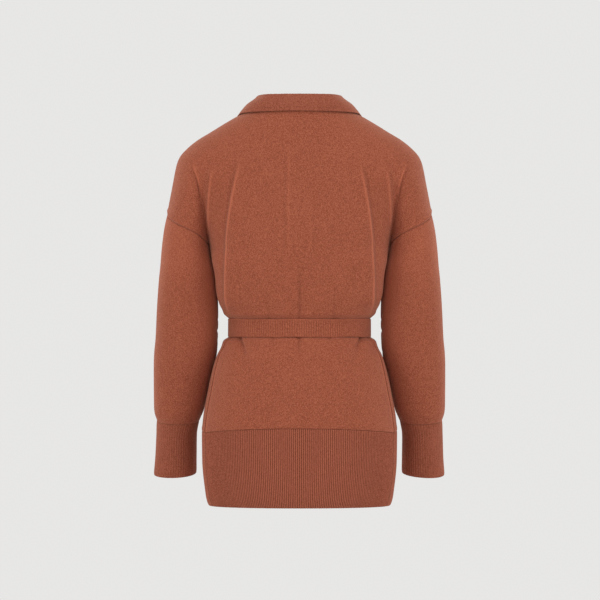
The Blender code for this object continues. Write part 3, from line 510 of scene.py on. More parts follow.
def band(value, start, full, ease, end):
    """0 before the start, 1 from full to ease, and 0 again past the end."""
    return ramp(value, start, full) * (1 - ramp(value, ease, end))


def bump(value, width):
    """Soft hump, 1 at zero and nearly 0 beyond its width."""
    return np.exp(-2.0 * (value / width) ** 2)


def humps(rows, distance):
    """Sum of soft humps, each with its height, place and half width."""
    return sum(height * bump(distance - place, width) for height, place, width in rows)


def raised(kind, distance):
    return humps(RELIEF[kind], distance)


def shaded(kind, distance):
    return humps(TONE[kind], distance)


def powered(value, power):
    """Power of a number's size, with the number's sign."""
    return np.sign(value) * np.abs(value) ** power


def quarter(count, width, height, power):
    """Points of a quarter superellipse, from its crown to its widest point."""
    angle = np.linspace(0.0, math.pi / 2, count)
    return np.stack(
        (width * np.sin(angle) ** (2 / power), height * np.cos(angle) ** (2 / power)), axis=1
    )


def arc_lengths(line):
    return np.concatenate(([0.0], np.cumsum(np.linalg.norm(np.diff(line, axis=0), axis=1))))


def along(line, share):
    """Point, or points, of a line at a share of its length."""
    length = arc_lengths(line)
    want = np.asarray(share) * length[-1]
    return np.stack([np.interp(want, length, line[:, k]) for k in range(line.shape[1])], axis=-1)


def soften(line, place, reach):
    """Rounds a line off around one of its points."""
    length = arc_lengths(line)
    even = np.linspace(0.0, length[-1], 500)
    line = np.stack([np.interp(even, length, line[:, k]) for k in range(2)], axis=1)
    spacing = even[1] or TINY
    spread = max(1, int(3 * reach / spacing))
    kernel = np.exp(-0.5 * (np.arange(-spread, spread + 1) * spacing / reach) ** 2)
    kernel /= kernel.sum()
    padded = np.pad(line, ((spread, spread), (0, 0)), mode="edge")
    blurred = np.stack([np.convolve(padded[:, k], kernel, mode="valid") for k in range(2)], axis=1)
    share = np.exp(-(((even - place) / (3 * reach)) ** 4))[:, None]
    return line * (1 - share) + blurred * share


def arm_sizes(z):
    """Arm's centre at a level, its reach inwards and outwards from there, and its half depth."""
    centre = smooth(ARM, "centre", z)
    inner = centre - smooth(ARM, "inner", z)
    return centre, inner, smooth(ARM, "outer", z) - centre, smooth(ARM, "half_depth", z)


def squared(x, half):
    """Height, as a share, of a squared oval's edge at a distance x from its middle."""
    inside = np.clip(1 - (np.abs(x) / half) ** ARM_SQUARE, 0.0, None)
    return inside ** (1 / ARM_SQUARE)


def arm_height(x, z, start):
    """Distance of the arm's surface from its middle plane, for an arm that starts at x = start."""
    centre = smooth(ARM, "centre", z)
    outer = smooth(SHOULDER, "x", z) - centre
    inner = max(start, TINY)
    half = np.where(x < centre, inner, outer)
    return smooth(ARM, "half_depth", z) * squared(x - centre, half)


def upper_outline(z, side):
    """Section above the underarm: body part from the centre to the crease, then the cap."""
    ridge_x = smooth(SHOULDER, "x", z)
    ridge_y = smooth(ARM, "centre_y", z)
    power = smooth(DEPTHS, "square", z)
    height = smooth(DEPTHS, "back" if side > 0 else "front", z) - side * ridge_y
    round_line = quarter(500, ridge_x, height, power)
    crease_x = smooth(CREASE, "x", z)
    lengths = arc_lengths(round_line)
    round_crease = np.interp(crease_x, round_line[:, 0], lengths)
    first = along(round_line, round_crease / lengths[-1] * SHARES)
    second = along(round_line, (round_crease + (lengths[-1] - round_crease) * SHARES) / lengths[-1])
    share = ramp(-z, 0.0875, 0.150)
    if share > 0:
        depth = smooth(CREASE, "depth", z)
        body_width = crease_x / (1 - (depth / height) ** power) ** (1 / power)
        t = np.linspace(0.0, 1.0, 250)
        body_x = crease_x * np.sin(t * math.pi / 2)
        body_y = height * (1 - (body_x / body_width) ** power) ** (1 / power)
        centre, _, _, arm_depth = arm_sizes(z)
        start = (centre - crease_x) / squared(depth, arm_depth)
        arm_x = crease_x + (ridge_x - crease_x) * np.sin(t * math.pi / 2)
        arm_y = arm_height(arm_x, z, start)
        arm_y[-1] = 0.0
        folded = np.concatenate(
            (np.stack((body_x, body_y), axis=1), np.stack((arm_x, arm_y), axis=1)[1:])
        )
        place = arc_lengths(folded)[249]
        folded = soften(folded, place, smooth(CREASE, "softness", z))
        even = arc_lengths(folded)
        split = np.interp(place, even, np.linspace(0, 1, len(even)))
        first = first * (1 - share) + along(folded, split * SHARES) * share
        second = second * (1 - share) + along(folded, split + (1 - split) * SHARES) * share
    for part in (first, second):
        part[:, 1] = ridge_y + side * part[:, 1]
    return first, second


def arm_limit(y, z):
    """How far out the body may reach beside the sleeve."""
    clear = SEAM + 0.0035 * ramp(-z, -UNDERARM_Z, -UNDERARM_Z + 0.03)
    centre, inner, _, half_depth = arm_sizes(z)
    off = y - smooth(ARM, "centre_y", z)
    return centre - (inner + clear) * squared(off, half_depth + clear)


def lower_outline(z, side):
    """Section below the underarm, from the centre to the side seam."""
    width = smooth(SIDES, "width", z)
    widest_y = smooth(SIDES, "widest_y", z)
    power = smooth(DEPTHS, "square", z)
    back = quarter(400, width, smooth(DEPTHS, "back", z) - widest_y, power)
    front = quarter(400, width, smooth(DEPTHS, "front", z) + widest_y, power)[::-1]
    line = np.concatenate(
        (back + (0.0, widest_y), (front * (1, -1) + (0.0, widest_y))[1:])
    )
    if z > CUFF_TOP_Z:
        limit = arm_limit(line[:, 1], z)
        gap = (line[:, 0] - limit) / 0.004
        share = ramp(-z, -UNDERARM_Z, -UNDERARM_Z + 0.012)
        line[:, 0] -= 0.004 * np.logaddexp(0.0, gap) * (gap > -8) * share
        line[:, 0] = np.maximum(line[:, 0], 0.0)
    length = arc_lengths(line)
    cut = np.interp(-smooth(SIDES, "seam_y", z), -line[:, 1], length)
    whole = length[-1]
    if side > 0:
        shares = np.linspace(0.0, cut - SEAM / 2, len(SHARES)) / whole
    else:
        shares = np.linspace(whole, cut + SEAM / 2, len(SHARES)) / whole
    return along(line, shares)


def evened(sections):
    """Takes the jitter between neighbouring levels out of a stack of sections."""
    kernel = np.array((1, 4, 6, 4, 1)) / 16
    ends = np.pad(sections, ((2, 2), (0, 0), (0, 0)), mode="reflect", reflect_type="odd")
    return sum(k * ends[n:n + len(sections)] for n, k in enumerate(kernel))


SHARES = np.linspace(0.0, 1.0, 161)
UPPER_LEVELS = np.linspace(0.020, UNDERARM_Z + 2e-6, 190)
LOWER_LEVELS = np.linspace(UNDERARM_Z, -0.690, 330)
UPPER = {}
LOWER = {}


def measure_sections():
    """Works the garment's sections out once, level by level."""
    for side in (1, -1):
        pairs = [upper_outline(z, side) for z in UPPER_LEVELS]
        UPPER[side] = evened(np.array([np.concatenate((a, b[1:])) for a, b in pairs]))
        LOWER[side] = evened(np.array([lower_outline(z, side) for z in LOWER_LEVELS]))


def look_up(sections, levels, place, z, last):
    """Point of a stack of sections at a place along them and a level."""
    level = np.clip((z - levels[0]) / (levels[1] - levels[0]), 0, len(levels) - 1.001)
    column = np.clip(place, 0.0, last) * (len(SHARES) - 1)
    column = np.minimum(column, sections.shape[1] - 1.001)
    k, j = level.astype(int), column.astype(int)
    a, b = (level - k)[..., None], (column - j)[..., None]
    high = sections[k, j] * (1 - b) + sections[k, j + 1] * b
    low = sections[k + 1, j] * (1 - b) + sections[k + 1, j + 1] * b
    return high * (1 - a) + low * a


def section(place, z, side):
    """Section point of the body; place runs 0 to 1 to the crease or side seam, and 1 to 2 over the cap."""
    place, z = np.broadcast_arrays(np.asarray(place, float), np.asarray(z, float))
    above = look_up(UPPER[side], UPPER_LEVELS, place, z, 2.0)
    below = look_up(LOWER[side], LOWER_LEVELS, place, z, 1.0)
    return np.where((z > UNDERARM_Z + 1e-6)[..., None], above, below)


def seam_level(place):
    """Height of the armhole seam; place runs 0 at the underarm to 1 at the shoulder's end."""
    return UNDERARM_Z + (SHOULDER_END_Z - UNDERARM_Z) * np.clip(place, 0, 1) ** SEAM_RISE


def neck_level(place, side):
    """Height of the neck edge: level at the back, a half oval cut into the front."""
    place = np.atleast_1d(place)
    if side > 0:
        return np.full(place.shape, NECK_Z)
    levels = NECK_Z - FRONT_NECK_DROP * np.linspace(1.0, 0.0, 60)
    oval = NECK_HALF * np.sqrt(1 - ((NECK_Z - levels) / FRONT_NECK_DROP) ** 2)
    x = section(place[:, None], levels[None, :], side)[..., 0]
    return np.array([np.interp(0.0, oval - row, levels) for row in x])


def fold_rise(x, z, side):
    """How far the main folds, which the solids have too, move the cloth out."""
    rise = np.zeros(np.broadcast(x, z).shape)
    for n, fold_side in enumerate(FOLDS["side"]):
        if fold_side != side:
            continue
        high, low = FOLDS["z_high"][n], FOLDS["z_low"][n]
        t = (high - z) / (high - low)
        middle = FOLDS["x_high"][n] + (FOLDS["x_low"][n] - FOLDS["x_high"][n]) * t
        across = (np.abs(x) - middle) / FOLDS["half_width"][n]
        length = band(t, *(FOLD_BELOW_BELT if low < WAIST_Z else FOLD_ABOVE_BELT))
        rise = rise + FOLDS["rise"][n] * length * bump(across, 1.0)
    return rise


def unit(vectors):
    return vectors / np.maximum(np.linalg.norm(vectors, axis=-1, keepdims=True), TINY)


def outward(points, side):
    """Outward normals of a sheet whose columns run away from the centre line and rows run down."""
    right = np.gradient(points, axis=1)
    down = np.gradient(points, axis=0)
    return unit(np.cross(right, down) * side)


def travel(points, axis):
    """Distance along a sheet's rows or columns, from the first point."""
    step = np.linalg.norm(np.diff(points, axis=axis), axis=-1)
    start = np.zeros_like(np.take(step, [0], axis=axis))
    return np.cumsum(np.concatenate((start, step), axis=axis), axis=axis)


def to_hand(hand, *arrays):
    """Mirrors points or directions to the right where hand is -1."""
    for array in arrays:
        array[..., 0] *= hand


def with_edges(plain, steps, *edges):
    """Adds close steps beside each edge, given with their scale, where a seam's relief needs them."""
    for edge, scale in edges:
        fine = edge + np.array(steps) * scale
        room = 0.5 * np.min(np.abs(np.diff(np.sort(np.append(fine, edge)))))
        clear = np.min(np.abs(plain[:, None] - fine[None, :]), axis=1) > room
        clear |= np.abs(plain - edge) < TINY
        plain = np.union1d(np.round(plain[clear], 9), np.round(fine, 9))
    return plain


def creases(x, z, side):
    """Creases, each with a steep and a soft flank: how far they move the cloth out, and their tone:
    a painted highlight on a crest, and painted shade on the flank that faces away and in a trough."""
    rise, tone = np.zeros_like(x), np.zeros_like(x)
    for n, crease_side in enumerate(CREASES["side"]):
        if crease_side != side:
            continue
        x_high, z_high = CREASES["x_high"][n], CREASES["z_high"][n]
        x_low, z_low = CREASES["x_low"][n], CREASES["z_low"][n]
        t = (z_high - z) / (z_high - z_low)
        middle = x_high + (x_low - x_high) * t + CREASES["bow"][n] * 4 * t * (1 - t)
        hand = 1.0 if x_high + x_low >= 0 else -1.0
        across = (x - middle) * hand
        width = np.where(across > 0, CREASES["outer_width"][n], CREASES["inner_width"][n])
        fade = band(t, 0.0, CREASES["fade_in"][n], 1 - CREASES["fade_out"][n], 1.0)
        height, crisp = CREASES["rise"][n], CREASES["crisp"][n] * fade
        rise += height * fade * bump(across, width)
        if height > 0:
            rise += crisp * raised("crest", across)
        tone += crisp * shaded("crest" if height > 0 else "trough", across)
    return rise, tone


def lay_grid(bm, points, inward, pattern, seam):
    """Lays one sheet: a grid whose vertices are moved to the given points."""
    rows, columns = points.shape[0] - 1, points.shape[1] - 1
    pattern_layer = bm.loops.layers.uv.verify()
    # tone of each vertex: darker seams, painted shade and painted highlights
    seam_layer = bm.verts.layers.float.get("seam") or bm.verts.layers.float.new("seam")
    inward_layer = (
        bm.verts.layers.float_vector.get("inward") or bm.verts.layers.float_vector.new("inward")
    )
    made = bmesh.ops.create_grid(bm, x_segments=columns, y_segments=rows, size=1.0)
    spots = {}
    for v in made["verts"]:
        spots[v] = (round((1 - v.co.y) / 2 * rows), round((v.co.x + 1) / 2 * columns))
    faces = {face for v in made["verts"] for face in v.link_faces}
    for face in faces:
        for loop in face.loops:
            loop[pattern_layer].uv = pattern[spots[loop.vert]]
        face.smooth = True
    for v, spot in spots.items():
        v.co = points[spot]
        v[inward_layer] = inward[spot]
        v[seam_layer] = seam[spot]
    right = points[:-1, 1:] - points[:-1, :-1]
    up = points[:-1, :-1] - points[1:, :-1]
    facing = np.einsum("ijk,ijk->ij", np.cross(right, up), inward[:-1, :-1])
    if np.median(facing) > 0:
        bmesh.ops.reverse_faces(bm, faces=list(faces))


def give_wall(bm, wall):
    """Gives the open sheets their wall: a copy of the faces moved inwards, joined at the edges."""
    bmesh.ops.remove_doubles(bm, verts=bm.verts, dist=1e-6)
    pattern_layer = bm.loops.layers.uv.verify()
    inward_layer = bm.verts.layers.float_vector["inward"]
    outer = set(bm.verts)
    rim = [edge for edge in bm.edges if edge.is_boundary]
    copies = bmesh.ops.duplicate(bm, geom=bm.verts[:] + bm.edges[:] + bm.faces[:])
    inner_of = {
        old: new for old, new in copies["vert_map"].items()
        if isinstance(old, bmesh.types.BMVert) and old in outer
    }
    for old, new in inner_of.items():
        new.co = old.co + old[inward_layer].normalized() * wall
    copied = [g for g in copies["geom"] if isinstance(g, bmesh.types.BMFace)]
    bmesh.ops.reverse_faces(bm, faces=copied)
    for edge in rim:
        loop = edge.link_loops[0]
        a, b = loop.vert, loop.link_loop_next.vert
        at_a, at_b = loop[pattern_layer].uv.copy(), loop.link_loop_next[pattern_layer].uv.copy()
        face = bm.faces.new((b, a, inner_of[a], inner_of[b]))
        face.smooth = True
        for corner, place in zip(face.loops, (at_b, at_a, at_a, at_b)):
            corner[pattern_layer].uv = place


def in_scene(name, data):
    made = bpy.data.objects.new(name, data)
    bpy.context.scene.collection.objects.link(made)
    return made


def meshed(bm, name, finish):
    mesh = bpy.data.meshes.new(name)
    bm.to_mesh(mesh)
    bm.free()
    mesh.materials.append(finish)
    return in_scene(name, mesh)


def finish_piece(bm, name, finish, node=None):
    """Makes the object, lets it ride with the frame and stand for its solid."""
    layer = bm.verts.layers.float_vector.get("inward")
    if layer:
        bm.verts.layers.float_vector.remove(layer)
    piece = meshed(bm, name, finish)
    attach(piece, "root")
    if node:
        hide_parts(node)


def knit_piece(node, finish, slot, wall, *sheets):
    """One knit piece from sheets of points, inward directions, pattern and tone."""
    bm = bmesh.new()
    for sheet in sheets:
        lay_grid(bm, *sheet)
    give_wall(bm, wall)
    finish_piece(bm, node + "_knit", finish, node)


# ---------------------------------------------------------------- panels


def panel_blocks(side):
    """Points and places across of one half of a panel, above the underarm and below it."""
    last_row = len(ROW_LEVELS) - 1
    rows = np.linspace(0, last_row, last_row * ROW_STEPS + 1)
    rows = with_edges(rows, UNDERARM_STEPS, (UNDERARM_ROW, -1.0))
    rows = with_edges(rows, FOOT_STEPS, (last_row, -1.0))
    places = np.concatenate(
        (np.linspace(0, 1, BODY_COLUMNS + 1), np.linspace(1, 2, CAP_COLUMNS + 1)[1:])
    )
    places = with_edges(places, PLACE_STEPS, (1.0, -1.0), (1.0, 2.0), (2.0, -2.0))
    level = np.interp(rows, np.arange(last_row + 1), ROW_LEVELS)
    blocks = []
    for upper in (True, False):
        chosen = rows <= UNDERARM_ROW if upper else rows >= UNDERARM_ROW
        across = places if upper else places[places <= 1.0]
        down = level[chosen][:, None]
        if upper:
            top = neck_level(across, side)[None, :]
            end = np.where(across <= 1, UNDERARM_Z, seam_level(across - 1.0) + SEAM / 2)[None, :]
            z = top + (end - top) * (NECK_Z - down) / (NECK_Z - UNDERARM_Z)
            z = np.where((across <= 1)[None, :], np.maximum(z, UNDERARM_Z + 2e-6), z)
        else:
            drop = HEM_SEAM_Z - HEM_SEAM_DROP * across[None, :] ** 2 - ROW_LEVELS[-1]
            z = down + drop * ramp(-down, 0.45, 0.551)
        flat = section(across[None, :], z, side)
        points = np.concatenate((flat, z[..., None]), axis=-1)
        blocks.append((points, across))
    return blocks


def shape_panel(side, hand, blocks):
    """Adds creases, seam valleys and the lip over the sleeve to a half panel, with painted shade and
    painted highlights along the creases, beside the arm and beside the belt.
    """
    upper, lower = blocks
    sheets = []
    for points, _ in blocks:
        normal = outward(points, side)
        normal[:, 0, 0] = 0.0
        normal[..., 2] *= ramp(np.abs(points[..., 2] - UNDERARM_Z), 0.002, 0.034)
        sheets.append(unit(normal))
    shared = lower[0].shape[1]
    seam_row = unit(sheets[0][-1, :shared] + sheets[1][0])
    sheets[0][-1, :shared] = seam_row
    sheets[1][0] = seam_row
    made = []
    for (points, across), normal in zip(blocks, sheets):
        x, z = points[..., 0] * hand, points[..., 2]
        is_upper = points is upper[0]
        around = travel(points, 1)
        edge = around[:, -1:] - around
        to_edge = ramp(edge, 0.0, 0.012)
        rise, tone = creases(x, z, side)
        move = (rise + fold_rise(points[..., 0], z, side)) * to_edge
        # the creases' painted shade and highlights, and the darker side seam
        seam = tone * to_edge + shaded("side seam", edge)
        move += raised("linked seam", edge) * (1 - band(-z, *SEAM_BY_ARM))
        if is_upper:
            crease_column = int(np.argmin(np.abs(across - 1.0)))
            beside = around - around[:, crease_column:crease_column + 1]
            reach = ramp(-z, 0.078, 0.105) * (1.0 if side > 0 else 0.6)
            within = raised("body's side of arm crease", beside)
            lip = np.where(beside <= 0, within, raised("arm's side of arm crease", beside))
            lip = np.where(np.abs(beside) < 1e-6, 0.0, lip)
            move += lip * reach * (1 - ramp(-z, 0.225, 0.238))
            # painted shade in the arm crease, and a painted highlight on the body's lip beside it
            seam += reach * shaded("arm crease", beside)
            to_armhole = travel(points[::-1], 0)[::-1]
            cap = (across > 1.0)[None, :] * ramp(across - 1.0, 0.0, 0.06)[None, :]
            move += cap * raised("linked seam", to_armhole)
            move += cap * raised("cap beside seam", to_armhole)
            seam += cap * shaded("armhole", to_armhole)
            move *= ramp(travel(points, 0), 0.0, 0.012)
        else:
            to_hem = travel(points[::-1], 0)[::-1]
            move += raised("panel foot", to_hem)
            seam += shaded("panel foot", to_hem)
            # painted shade under the belt and just above it
            seam += shaded("under belt", z - BELT_FOOT_Z) + shaded("over belt", z - BELT_TOP_Z)
            beside = 1 - 0.45 * ramp(across, 0.70, 1.0)
            move += beside * BELT_SWELL[0] * swell(z - BELT_TOP_Z)
            move += beside * BELT_SWELL[1] * swell(BELT_FOOT_Z - z)
            # painted shade along the skirt's side edge, and a painted highlight on the ridge beside it
            seam += shaded("skirt side", edge) * ramp(-z, 0.395, 0.41)
            seam += shaded("skirt side ridge", edge) * ramp(-z, 0.40, 0.42)
            if side > 0:
                by_arm = band(-z, *BODY_BY_ARM)
                move += raised("body beside arm", edge) * by_arm
                # painted highlight on the body beside the arm
                seam += shaded("body beside arm", edge) * by_arm
        moved = points + normal * move[..., None]
        if side < 0:
            slit = (z > SLIT_END_Z) & (np.arange(points.shape[1]) == 0)[None, :]
            moved[..., 0] = np.where(slit, SLIT_HALF, moved[..., 0])
        made.append([moved, -normal, np.stack((around * hand, -z), axis=-1), seam])
    join_blocks(made[0], made[1], upper[1])
    for moved, inward, _, _ in made:
        to_hand(hand, moved, inward)
    return made


def swell(height):
    """Share of the cloth's bulge beside the belt: none under it, most a little way off, then fading."""
    return band(height, -0.0010, 0.0022, 0.0030, 0.0160)


def join_blocks(above, below, across):
    """Eases the upper block's last rows onto the lower block's first row, so that one cloth runs on."""
    shared = below[0].shape[1]
    crease_column = shared - 1
    level = above[0][:, :, 2]
    near = 1 - ramp(level - UNDERARM_Z, 0.0, 0.020)
    beyond = np.maximum(across - across[crease_column], 0.0)
    near = near * (1 - ramp(beyond, 0.0, 0.10))[None, :]
    for n in (0, 3):
        last = above[n][-1].copy()
        change = np.zeros_like(last)
        change[:shared] = below[n][0] - last[:shared]
        change[shared:] = change[crease_column]
        if n == 0:
            above[n] += near[..., None] * change
        else:
            above[n] += near * change
        above[n][-1, :shared] = below[n][0]
    ease_join(above[0], below[0], shared)


def ease_join(above, below, shared):
    """Smooths both blocks up and down across the row that they share."""
    column = np.concatenate((above[:, :shared], below[1:]), axis=0)
    level = column[..., 2]
    height = level - UNDERARM_Z
    spacing = np.abs(np.gradient(level, axis=0))
    inside = np.arange(shared) / (shared - 1)
    share = (1 - ramp(np.abs(height), 0.016, 0.034)) * (1 - ramp(inside, 0.90, 1.0))[None, :]
    eased = column.copy()
    for i in np.flatnonzero(share.max(axis=1) > 0):
        weight = np.exp(-0.5 * ((level - level[i]) / 0.008) ** 2) * spacing
        weight /= weight.sum(axis=0)
        lean = (weight * (level - level[i])).sum(axis=0)
        for k in (0, 1):
            middle = (weight * column[..., k]).sum(axis=0)
            slope = (column[min(i + 3, len(column) - 1), :, k] - column[max(i - 3, 0), :, k]) / (
                level[min(i + 3, len(column) - 1)] - level[max(i - 3, 0)]
            )
            eased[i, :, k] = middle - slope * lean
    column += (eased - column) * share[..., None]
    above[:, :shared] = column[:len(above)]
    below[:] = column[len(above) - 1:]


def make_panel(name, side, finish):
    blocks = panel_blocks(side)
    halves = shape_panel(side, 1, blocks) + shape_panel(side, -1, blocks)
    knit_piece(name, finish, "jersey", WALL, *halves)


# ---------------------------------------------------------------- sleeves and cuffs


def arm_section(z, turn):
    """Arm surface; turn runs 0 at the inner side, 1 at the outer side over the back, then to 2."""
    share = np.where(turn <= 1, turn, 2 - turn)
    flat = look_up(ARM_SECTIONS["line"], ARM_LEVELS, share, z, 1.0)
    y = np.where(turn <= 1, flat[..., 1], -flat[..., 1])
    return np.stack(
        (flat[..., 0], smooth(ARM, "centre_y", z) + y, z - smooth(ARM, "lean", z) * y), axis=-1
    )


ARM_LEVELS = np.linspace(-0.150, CUFF_TOP_Z, 240)
ARM_SECTIONS = {}


def measure_arm():
    """Works the arm's sections out once, level by level."""
    angle = np.linspace(0.0, math.pi, 240)
    c, s = np.cos(angle), np.sin(angle)
    power = 2 / ARM_SQUARE
    lines = []
    for z in ARM_LEVELS:
        centre, inner, outer, half_depth = arm_sizes(z)
        x = centre - np.where(c > 0, inner, outer) * powered(c, power)
        lines.append(along(np.stack((x, half_depth * np.abs(s) ** power), axis=1), SHARES))
    ARM_SECTIONS["line"] = evened(np.array(lines))


def sleeve_points(v, turn):
    """Outer points of the sleeve; v runs 0 at the armhole to 1 at the cuff."""
    share = np.where(turn <= 1, turn, 2 - turn)
    start = seam_level(share) - SEAM / 2
    z = start + (CUFF_TOP_Z - start) * v
    points = arm_section(z, turn)
    blend = (np.clip(1 - v / 0.22, 0.0, 1.0) ** 2)[..., None]
    level = np.maximum(start, UNDERARM_Z + 2e-6)
    back = section(1 + share, level, 1)
    front = section(1 + share, level, -1)
    flat = np.where((turn <= 1)[..., None], back, front)
    armhole = np.concatenate((flat, start[..., None]), axis=-1)
    return points + blend * (armhole - arm_section(start, turn))


def sleeve_relief(v, turn, hand):
    """Soft creases of the sleeve, at the bend of the elbow and where it meets the cuff."""
    rise = np.zeros_like(v)
    for place, level, slope, width, height, depth, on_hand in zip(*SLEEVE_CREASES.values()):
        if on_hand in (0, hand):
            off = (turn - place + 1) % 2 - 1
            rise += depth * bump(off, width) * bump(v - level - slope * off, height)
    return rise


def make_sleeve(name, hand, finish):
    v = np.linspace(0, 1, SLEEVE_ROWS + 1)
    v = with_edges(v, SLEEVE_STEPS, (0.0, 1.0), (1.0, -1.0))
    turn = np.linspace(0, 2, SLEEVE_COLUMNS + 1)
    turn = with_edges(turn, SLEEVE_STEPS, (0.0, 1.6), (2.0, -1.6))
    rows, columns = np.meshgrid(v, turn, indexing="ij")
    points = sleeve_points(rows, columns)
    wide = np.concatenate((points[:, -2:-1], points, points[:, 1:2]), axis=1)
    normal = unit(-np.cross(np.gradient(wide, axis=1), np.gradient(wide, axis=0)))[:, 1:-1]
    outside = points - np.mean(points, axis=1, keepdims=True)
    if np.median(np.sum(normal * outside, axis=-1)) < 0:
        normal = -normal
    around = travel(points, 1)
    length = travel(points, 0)
    to_seam = np.minimum(around, around[:, -1:] - around)
    from_armhole, to_cuff = length, length[-1:] - length
    move = sleeve_relief(rows, columns, hand)
    move *= ramp(from_armhole, 0.0, 0.02) * ramp(to_cuff, 0.0, 0.01)
    move += raised("linked seam", to_seam) * ramp(rows, 0.30, 0.45)
    move += raised("armhole", from_armhole) + raised("sleeve foot", to_cuff)
    seam = np.maximum(shaded("sleeve seam", to_seam), shaded("armhole", from_armhole))
    seam = np.maximum(seam, shaded("sleeve foot", to_cuff))
    # Painted light makes the upper sleeve lighter, and its inner back, where the body shades it, lighter
    # still
    inner_back_painted_light = bump(columns - 0.12, 0.26) * ramp(rows, 0.05, 0.20)
    inner_back_painted_light *= 1 - 0.6 * ramp(rows, 0.40, 0.75) - 0.4 * ramp(rows, 0.86, 1.0)
    seam -= 0.20 * (1 - ramp(rows, 0.15, 0.50)) + 0.90 * inner_back_painted_light
    moved = points + normal * move[..., None]
    moved[:, -1] = moved[:, 0]
    inward = -normal
    inward[:, -1] = inward[:, 0]
    to_hand(hand, moved, inward)
    pattern = np.stack((around, length), axis=-1)
    knit_piece(name, finish, "jersey", WALL, (moved, inward, pattern, seam))


def rib_profile(phase):
    """Round rib with a narrow valley; 0 on the rib and 1 in the valley."""
    return np.abs(np.sin(math.pi * phase)) ** 2.2


def make_cuff(name, hand, finish):
    top_z, foot_z = CUFF_EDGE_Z
    z = np.linspace(top_z, foot_z, 25)
    z = with_edges(z, (0.0006, 0.0012), (top_z, -1.0))
    z = with_edges(z, (0.0006, 0.0014, 0.0026), (foot_z, 1.0))[::-1]
    turn = np.linspace(0, 1, CUFF_RIBS * RIB_STEPS + 1)
    rows, columns = np.meshgrid(z, turn, indexing="ij")
    angle = 2 * math.pi * columns
    depth = CUFF_RIB_HEIGHT * rib_profile(columns * CUFF_RIBS)
    depth += CUFF_EASE * bump(rows - foot_z, 0.004)
    depth -= CUFF_WAVE * np.sin(3 * angle + 0.7 * hand) * ramp(-rows, 0.56, 0.63)
    c, s = np.cos(angle), np.sin(angle)
    x = (smooth(CUFF, "half_width", rows) - depth) * c
    y = (smooth(CUFF, "half_depth", rows) - depth) * s
    _, inner, outer, half_depth = arm_sizes(CUFF_TOP_Z)
    arm_x = (np.where(c > 0, outer, inner) - depth) * powered(c, 2 / ARM_SQUARE)
    arm_y = (half_depth - depth) * powered(s, 2 / ARM_SQUARE)
    arm_share = 1 - ramp(top_z - rows, 0.0, CUFF_JOIN)
    x = x * (1 - arm_share) + arm_x * arm_share
    y = y * (1 - arm_share) + arm_y * arm_share
    tilt = CUFF_TILT * x * ramp(-rows, -top_z, -foot_z)
    points = np.stack(
        (
            smooth(CUFF, "centre", rows) + x,
            smooth(CUFF, "centre_y", rows) + y,
            rows - CUFF_LEAN * y - tilt,
        ),
        axis=-1,
    )
    inward = unit(np.stack((-c, -s, CUFF_LEAN * s), axis=-1))
    points[:, -1], inward[:, -1] = points[:, 0], inward[:, 0]
    to_hand(hand, points, inward)
    pattern = np.stack((columns * CUFF_RIBS, -rows), axis=-1)
    sheet = (points, inward, pattern, shaded("cuff top", rows - top_z))
    knit_piece(name, finish, "rib", RIB_WALL - CUFF_RIB_HEIGHT, sheet)


# ---------------------------------------------------------------- hem


def make_hem(name, side, finish):
    """Ribbed lower edge of one panel, from side seam to side seam."""
    down = np.linspace(0, 1, 22)
    down = with_edges(down, (0.004, 0.010, 0.018), (0.0, 1.0))
    down = with_edges(down, (0.004, 0.010, 0.02), (1.0, -1.0))
    turn = np.linspace(-1, 1, HEM_RIBS * RIB_STEPS + 1)
    rows, columns = np.meshgrid(down, turn, indexing="ij")
    share = np.abs(columns)
    top = HEM_SEAM_Z - HEM_SEAM_DROP * share**2 - SEAM
    z = top + (HEM_FOOT_Z - top) * rows
    flat = section(share, z, side)
    plain = np.stack((flat[..., 0] * np.sign(columns + TINY), flat[..., 1], z), axis=-1)
    normal = unit(np.cross(np.gradient(plain, axis=1), np.gradient(plain, axis=0)) * side)
    around = travel(plain, 1)
    to_seam = np.minimum(around, around[:, -1:] - around)
    to_top = travel(plain, 0)
    to_edge = to_top[-1:] - to_top
    phase = (columns + 1) / 2 * HEM_RIBS
    ribs = -HEM_RIB_HEIGHT * rib_profile(phase)
    calm = ramp(to_seam, 0.0, 0.004)
    rise, tone = creases(plain[..., 0], z, side)
    move = ribs * calm + rise * ramp(to_seam, 0.0, 0.03)
    move += raised("hem side", to_seam) + raised("hem top", to_top)
    move += raised("hem foot", to_edge)
    points = plain + normal * move[..., None]
    # the creases' painted shade and highlights, and the darker seams
    seam = tone + np.maximum(shaded("side seam", to_seam), shaded("panel foot", to_top))
    # painted shade in the rib valleys and painted highlight on the ribs, weaker towards the sides
    valleys = rib_profile(phase) - HEM_VALLEY
    seam += HEM_RIB_PAINTED_LIGHT * valleys * calm * (1 - 0.75 * ramp(share, 0.30, 0.85))
    pattern = np.stack((phase, -z), axis=-1)
    sheet = (points, -normal, pattern, seam)
    knit_piece(name, finish, "rib", RIB_WALL - HEM_RIB_HEIGHT, sheet)


# ---------------------------------------------------------------- collar


def rounded(points, count):
    """Smooth line of a given count of points through a few listed ones."""
    points = np.asarray(points)
    length = arc_lengths(points)
    slope = np.gradient(points, length, axis=0)
    want = np.linspace(0.0, length[-1], count)
    i = np.clip(np.searchsorted(length, want) - 1, 0, len(length) - 2)
    h = (length[i + 1] - length[i])[:, None]
    t = (want - length[i])[:, None] / h
    return cubic(t, h, points[i], points[i + 1], slope[i], slope[i + 1])


def neckline_point(turn):
    """Neck edge; turn runs 0 at the centre back to 1 at the centre front."""
    side = 1 if turn <= 0.5 else -1
    place = 4 * turn if turn <= 0.5 else 4 * (1 - turn)
    z = float(neck_level(place, side)[0])
    x, y = section(place, z, side)
    return np.array((x, y, z))


